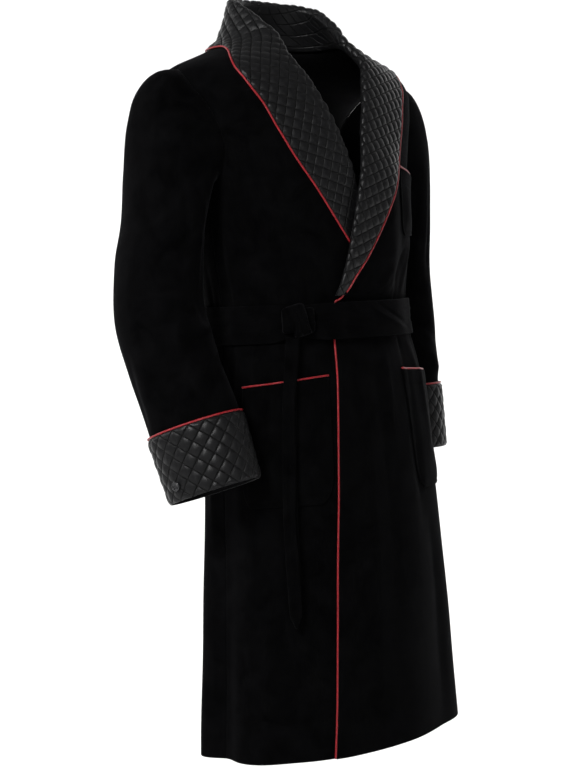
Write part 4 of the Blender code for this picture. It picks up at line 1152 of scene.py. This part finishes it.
def make_button(label, table, side):
    """Turned button with a raised rim, a dished face and four holes."""
    turns = np.radians(BUTTON_TURN + np.array([-2.0, 0.0, 2.0]))
    top, bottom = sleeve_sections(table, turns, CUFF_GAP + SATIN + QUILT_PUFF + BUTTON_GAP)[-2:]
    ring = bottom + (top - bottom) * BUTTON_UP
    upward = unit(top[1] - bottom[1])
    outward = unit(np.cross(ring[2] - ring[0], upward))
    if outward.dot(ring[1] - (np.array(table[-1][:3]) + np.array(table[-2][:3])) / 2) < 0:
        outward = -outward
    across = np.cross(outward, upward)
    turn = 2 * np.pi * np.arange(BUTTON_SIDES) / BUTTON_SIDES
    at = np.linspace(0, len(BUTTON_PROFILE) - 1, BUTTON_RINGS)
    share, height = (np.interp(at, np.arange(len(BUTTON_PROFILE)), line) for line in zip(*BUTTON_PROFILE))
    x = share[:, None] * np.cos(turn)
    y = share[:, None] * np.sin(turn)
    level = np.repeat(height[:, None], BUTTON_SIDES, axis=1)
    for hole_x, hole_y in ((0.2, 0.2), (-0.2, 0.2), (-0.2, -0.2), (0.2, -0.2)):
        hole = np.exp(-(((x - hole_x) ** 2 + (y - hole_y) ** 2) / 0.0075) ** 2)
        level = np.where(at[:, None] > 8, level - 0.42 * hole, level)
    grid = (
        ring[1]
        + outward * BUTTON_THICKNESS * level[..., None]
        + (across * x[..., None] + upward * y[..., None]) * BUTTON_RADIUS
    )
    quads = ring_quads(BUTTON_RINGS, BUTTON_SIDES)
    uv = np.stack([x, y], axis=-1).reshape(-1, 2) * BUTTON_RADIUS
    points = mirrored(grid.reshape(-1, 3), side)
    made = mesh_of("button_cuff_" + label, points, quads, [button_black], uv)
    keep(faced(made, len(quads) // 2, mirrored(ring[1], side)))


# Pockets

MOUTH_GAPE = 0.0014
HIP_POCKET_WIDTH = 0.155


def pocket_points(size, side, lifted, down, shares, out):
    """Points of a pocket by share down it and share across it, moved out of the creased front."""
    front, back, front_z, side_z, bottom_z, lean = size
    low = np.clip((down - (1 - POCKET_CORNER)) / POCKET_CORNER, 0, 1)
    inset = POCKET_ROUND * (1 - np.sqrt(1 - low**2 * 0.96))
    across = 0.5 + (shares - 0.5) * (1 - 2 * inset)
    angles = front + (back - front) * across + lean * down
    mouth = front_z + (side_z - front_z) * across
    z = mouth + (bottom_z - mouth) * down
    return torso(angles * side, z, lift_if(lifted, angles, z) + relief(angles * side, z) + out)


def make_pocket(name, size, side, lifted):
    down, shares = np.meshgrid(np.linspace(0, 1, 58), np.linspace(0, 1, 52), indexing="ij")
    width = HIP_POCKET_WIDTH * (size[1] - size[0]) / (HIP_POCKET[1] - HIP_POCKET[0])
    height = abs(size[4] - size[2])
    from_edge = np.minimum(np.minimum(shares, 1 - shares) * width, (1 - down) * height)
    body = 0.0016 * smooth(from_edge, 0.0, 0.030) + 0.0012 * smooth(from_edge, 0.0, 0.004)
    stitched = -0.0008 * np.exp(-(((from_edge - 0.0060) / 0.0014) ** 2)) * (down > 0.02)
    gape = MOUTH_GAPE * np.exp(-((down / 0.10) ** 2)) * np.sin(np.pi * shares) ** 0.6
    hem = -0.0006 * np.exp(-(((down * height - 0.024) / 0.0016) ** 2))
    wave = 0.0008 * np.sin(9 * shares + 2.1) * np.sin(7 * down + 0.5) * smooth(from_edge, 0, 0.02)
    extra = body + stitched + gape + hem + wave
    outer = pocket_points(size, side, lifted, down, shares, POCKET_GAP + VELVET - 0.0008 + extra)
    inner = pocket_points(size, side, lifted, down, shares, POCKET_GAP + np.maximum(extra - 0.0014, 0) * 0.8)
    coordinates = np.stack([shares * width, -down * height], axis=-1)
    keep(sheet_mesh(name, outer, inner, coordinates, [velvet, lining]))


def make_pocket_piping(name, size, side, lifted):
    shares = np.linspace(0, 1, 60)
    gape = MOUTH_GAPE * np.sin(np.pi * shares) ** 0.6
    mouth = pocket_points(size, side, lifted, np.zeros(60), shares, POCKET_GAP + VELVET / 2 + 0.0005 + gape)
    keep(cord_mesh(name, mouth + np.array([0, 0, PIPING_RADIUS + SEAM_GAP])))


LEAD_TOP_Z = -0.3888


def make_front_piping():
    """Piping of the left front's edge, with a short bend at its top that joins it to the collar's piping."""
    z = np.linspace(-0.398, HEM_Z + 0.001, 300)
    angles = left_edge_angle(z)
    lift = left_lift(angles, z) + relief(angles, z)
    edge = torso(angles, z, lift - VELVET / 2)
    outward = unit(torso(angles - 1.0, z, lift - VELVET / 2) - edge)
    down = np.linspace(0, 1, 7)[:-1]
    first = COLLAR[-1][2] + 0.3
    lead_angle = first + (angles[0] - first) * down
    lead_z = LEAD_TOP_Z + (z[0] - LEAD_TOP_Z) * np.sqrt(down)
    lead_out = (LAY_GAP + SATIN / 2) * (1 - down) - VELVET / 2 * down
    lead = torso(lead_angle, lead_z, left_lift(lead_angle, lead_z) + relief(lead_angle, lead_z) + lead_out)
    path = evenly(np.concatenate([lead, edge + outward * (PIPING_RADIUS + SEAM_GAP)]), 0.0025)
    keep(cord_mesh("piping_front_edge", path))


# Belt


def make_belt():
    angles = np.linspace(-180, 180, 420, endpoint=False)[None, :]
    share = np.linspace(0, 1, 30)[:, None]
    pinch = np.exp(-(((angles - KNOT_ANGLE) / 8.5) ** 2))
    middle = BELT_TOP_Z - BELT_WIDTH / 2
    half = BELT_WIDTH / 2 * (1 - 0.22 * pinch)
    z = middle + (KNOT_Z - middle) * pinch * 0.8 + half * (1 - 2 * share)
    pleats = crease_sum(BELT_CREASES, angles, share * BELT_WIDTH, DEGREE_ON_BODY, around=False)
    crown = 0.0009 * np.sin(np.pi * share) ** 0.5
    fan = -0.0010 * pinch * np.cos(2 * np.pi * share * 3)
    out = belt_out(angles)
    thick = BELT_THICKNESS + crown + pleats + fan
    outer, inner = torso(angles, z, out + thick), torso(angles, z, out + np.minimum(0.0006, thick - 0.001))
    coordinates = np.stack(np.broadcast_arrays(angles * DEGREE_ON_BODY, share * BELT_WIDTH), axis=-1)
    skins = [velvet, velvet]
    keep(sheet_mesh("belt_band", outer, inner, coordinates, skins, closed=True, edge_round=0.0012))


def rounded(value, half, power):
    """1 in the middle, falling to 0 at half each way, squarer for a higher power."""
    return np.clip(1 - np.abs(value / half) ** power, 0, 1) ** (1 / power)


def knot_height(x, y):
    """Front of the half knot: pleated strands from both sides that run in under one slanting wrap."""
    tilt = math.radians(KNOT_SLANT)
    side, length = x * math.cos(tilt) + y * math.sin(tilt), y * math.cos(tilt) - x * math.sin(tilt)
    reach = 0.0165 + 0.15 * np.abs(x)
    strands = 0.0120 * rounded(y, reach, 2.2) * rounded(x, 0.0275, 3.0)
    strands += 0.0011 * np.cos(y / reach * 8.5 + 3 * np.sign(x)) * rounded(y, reach, 2.0)
    half = KNOT_WRAP_HALF * (1 - 0.16 * rounded(length, 0.020, 2.0) + 0.05 * np.sin(length * 170))
    wrap = 0.0215 * rounded(length, 0.0262, 2.6) * np.clip(rounded(side, half, 3.4), 0, 1) ** 0.8
    folds = 0.0010 * np.cos(side * 900 + length * 60)
    folds = folds + 0.0009 * np.tanh((side - 0.002 - length * 0.12) * 2600)
    wrap += folds * rounded(length, 0.0262, 2.0) * rounded(side, half, 2.0)
    return np.maximum(strands, wrap)


def make_knot():
    """Half knot of the belt, seated on the band."""
    out = float(belt_out(KNOT_ANGLE)) + BELT_THICKNESS + KNOT_GAP
    base = torso(KNOT_ANGLE, KNOT_Z, out)
    outward = torso(KNOT_ANGLE, KNOT_Z, 1.0) - torso(KNOT_ANGLE, KNOT_Z)
    across = unit(np.cross(np.array([0.0, 0.0, 1.0]), outward))
    up = np.cross(outward, across)
    share = np.linspace(0, 1, 62)[1:, None]
    turn = np.linspace(0, 2 * np.pi, 150, endpoint=False)[None, :]
    tilt = math.radians(KNOT_SLANT)
    away = turn - tilt - np.pi / 2
    wrap_edge = 1 / np.maximum(np.abs(np.cos(away)) / 0.0255, np.abs(np.sin(away)) / KNOT_WRAP_HALF)
    strand_edge = 1 / np.maximum(np.abs(np.sin(turn)) / 0.0195, np.abs(np.cos(turn)) / 0.0265)
    edge = np.maximum(wrap_edge * 0.97, strand_edge * 0.97)
    edge = np.convolve(np.pad(edge[0], 3, mode="wrap"), np.ones(7) / 7, "valid")[None, :]
    x, y = share * edge * np.cos(turn), share * edge * np.sin(turn)
    height = knot_height(x, y) * np.sqrt(np.clip(1 - share**14, 0, 1)) + KNOT_STANDING
    grid = base + across * x[..., None] + up * y[..., None] + outward * height[..., None]
    rim = base + across * (x[-1] * 0.94)[:, None] + up * (y[-1] * 0.94)[:, None]
    grid = np.concatenate([grid, rim[None]])
    top = base + outward * (float(knot_height(np.array(0.0), np.array(0.0))) + KNOT_STANDING)
    uv = np.concatenate([np.stack([x, y], -1).reshape(-1, 2), np.stack([x[-1], y[-1]], -1), [[0, 0], [0, 0]]])
    points = np.concatenate([grid.reshape(-1, 3), [top], [base]])
    rows, cols = grid.shape[:2]
    made = mesh_of("belt_knot", points, capped_faces(rows, cols), [velvet], uv)
    keep(faced(made, (rows - 1) * cols // 2, base))


def make_belt_end(name, rows, phase):
    """Hanging end: the strip folded on itself, one fold riding higher, with a pointed tip."""
    angles, heights, outs = np.array(rows, float).T
    z = np.linspace(heights[0], heights[-1], 150)
    angle = np.interp(-z, -heights, angles)
    out = np.interp(-z, -heights, outs)
    kernel = np.hanning(25) / np.hanning(25).sum()
    angle = np.convolve(np.pad(angle, 12, mode="reflect", reflect_type="odd"), kernel, mode="valid")
    middle = torso(angle, z, out + BELT_END_THICKNESS / 2)
    outward = torso(angle, z, 1.0) - torso(angle, z)
    across = unit(np.cross(outward, np.gradient(middle, axis=0)))
    run = np.linspace(0, 1, len(z))
    tip = 1 - np.clip((run - 0.955) / 0.045, 0, 1) * 0.88
    breadth = BELT_END_WIDTH / 2 * tip * (1 + 0.05 * np.sin(17 * run + phase))
    turn = np.linspace(0, 2 * np.pi, 48, endpoint=False)
    u = (np.sign(np.cos(turn)) * np.abs(np.cos(turn)) ** 0.55)[None, :]
    v = (np.sign(np.sin(turn)) * np.abs(np.sin(turn)) ** 0.8)[None, :]
    groove = 0.10 + 0.10 * np.sin(9 * run + phase)[:, None]
    groove_painted_shade = 0.55 * np.exp(-(((u - groove) / 0.10) ** 2))
    face = v * (1 + 0.16 * np.tanh((groove - u) * 14) - groove_painted_shade)
    ripple = 0.05 * np.sin(60 * run + 3 * np.sin(7 * run))[:, None] * u
    deep = np.where(v > 0, face + ripple, v * 0.92) * BELT_END_THICKNESS / 2
    grid = (
        middle[:, None]
        + across[:, None] * (breadth[:, None] * u)[..., None]
        + outward[:, None] * (deep * (0.35 + 0.65 * tip[:, None]))[..., None]
    )
    count, sides = grid.shape[:2]
    vertices = np.concatenate([grid.reshape(-1, 3), grid[[0, -1]].mean(axis=1)])
    uv = np.stack(np.broadcast_arrays(z[:, None], turn[None] * 0.006), -1).reshape(-1, 2)
    uv = np.concatenate([uv, uv[:1], uv[-1:]])
    made = mesh_of(name, vertices, capped_faces(count, sides), [velvet], uv)
    keep(faced(made, sides * (count // 2), middle[count // 2]))


make_back()
make_front("front_right", -1, under_edge_angle, False)
make_front("front_left", 1, left_edge_angle, True)
for label, side, table, creases in (
    ("right", -1, SLEEVE_BENT, SLEEVE_CREASES_BENT),
    ("left", 1, SLEEVE_HANGING, SLEEVE_CREASES_HANGING),
):
    make_collar(label, side)
    make_collar_piping(label, side)
    make_sleeve(label, table, creases, side)
    make_cuff(label, table, side)
    make_cuff_piping(label, table, side)
    make_button(label, table, side)
    make_pocket("pocket_hip_" + label, HIP_POCKET, side, side > 0)
    make_pocket_piping("piping_pocket_hip_" + label, HIP_POCKET, side, side > 0)
make_pocket("pocket_breast", BREAST_POCKET, 1, True)
make_pocket_piping("piping_pocket_breast", BREAST_POCKET, 1, True)
make_front_piping()
make_belt()
make_knot()
make_belt_end("belt_end_long", BELT_END_LONG, 0.4)
make_belt_end("belt_end_short", BELT_END_SHORT, 2.0)


# Stage, camera and lights


def make_stage():
    """Pale floor that curves up into a backdrop behind the garment."""
    profile = [(-STAGE_REACH, 0.0), (CURVE_START, 0.0)]
    for step in range(1, 13):
        turn = math.radians(90 * step / 12)
        profile.append((CURVE_START + CURVE_RADIUS * math.sin(turn), CURVE_RADIUS * (1 - math.cos(turn))))
    profile.append((CURVE_START + CURVE_RADIUS, 5.5))
    forward = -np.array(CAMERA_BACK) * np.array([1, 1, 0])
    forward /= np.linalg.norm(forward)
    sideways = np.array([forward[1], -forward[0], 0.0])
    points, faces = [], []
    for along_floor, up in profile:
        for reach in (-STAGE_REACH, STAGE_REACH):
            points.append(tuple(forward * along_floor + sideways * reach + np.array([0, 0, FLOOR_Z + up])))
    for k in range(len(profile) - 1):
        faces.append((2 * k, 2 * k + 1, 2 * k + 3, 2 * k + 2))
    mesh = bpy.data.meshes.new("floor")
    mesh.from_pydata(points, [], faces)
    mesh.shade_smooth()
    made, _, shader = shader_of("floor_paper", 0.85, 0.2)
    shader.inputs["Base Color"].default_value = (0.90, 0.90, 0.90, 1)
    mesh.materials.append(made)
    floor = linked("floor", mesh)


def add_light(name, place, aim, energy, size):
    data = bpy.data.lights.new(name, "AREA")
    data.energy = energy
    data.size = size
    lamp = linked(name, data)
    lamp.location = place
    lamp.rotation_euler = (Vector(aim) - Vector(place)).to_track_quat("-Z", "Y").to_euler()


def make_camera():
    data = bpy.data.cameras.new("camera")
    data.sensor_width = 36
    data.lens = CAMERA_LENS
    camera = linked("camera", data)
    rows = zip(CAMERA_RIGHT, CAMERA_UP, CAMERA_BACK, CAMERA_AT)
    camera.matrix_world = Matrix((*rows, (0, 0, 0, 1)))
    bpy.context.scene.camera = camera


make_stage()
make_camera()
add_light("key", (-3.0, -1.2, 1.5), (0, 0, -0.35), 125, 1.0)
add_light("fill", (-1.4, -3.4, 0.6), (0, 0, -0.5), 10, 2.0)
add_light("rim_right", (-2.4, 1.8, 0.8), (0, 0, -0.5), 32, 1.0)
add_light("rim_left", (2.8, 1.2, 0.7), (0, 0, -0.5), 3, 1.4)
for reach in (-2.0, 2.0):
    wall = -np.array(CAMERA_BACK) * 1.1 + np.array(CAMERA_RIGHT) * reach
    add_light("backdrop", (wall[0], wall[1], 1.6), (wall[0] * 1.9, wall[1] * 1.9, -0.9), 120, 1.6)
world = bpy.data.worlds.new("studio")
bpy.context.scene.world = world
world.use_nodes = True
background = world.node_tree.nodes["Background"]
background.inputs["Color"].default_value = (1, 1, 1, 1)
background.inputs["Strength"].default_value = 0.24
bpy.context.scene.view_settings.view_transform = "Standard"
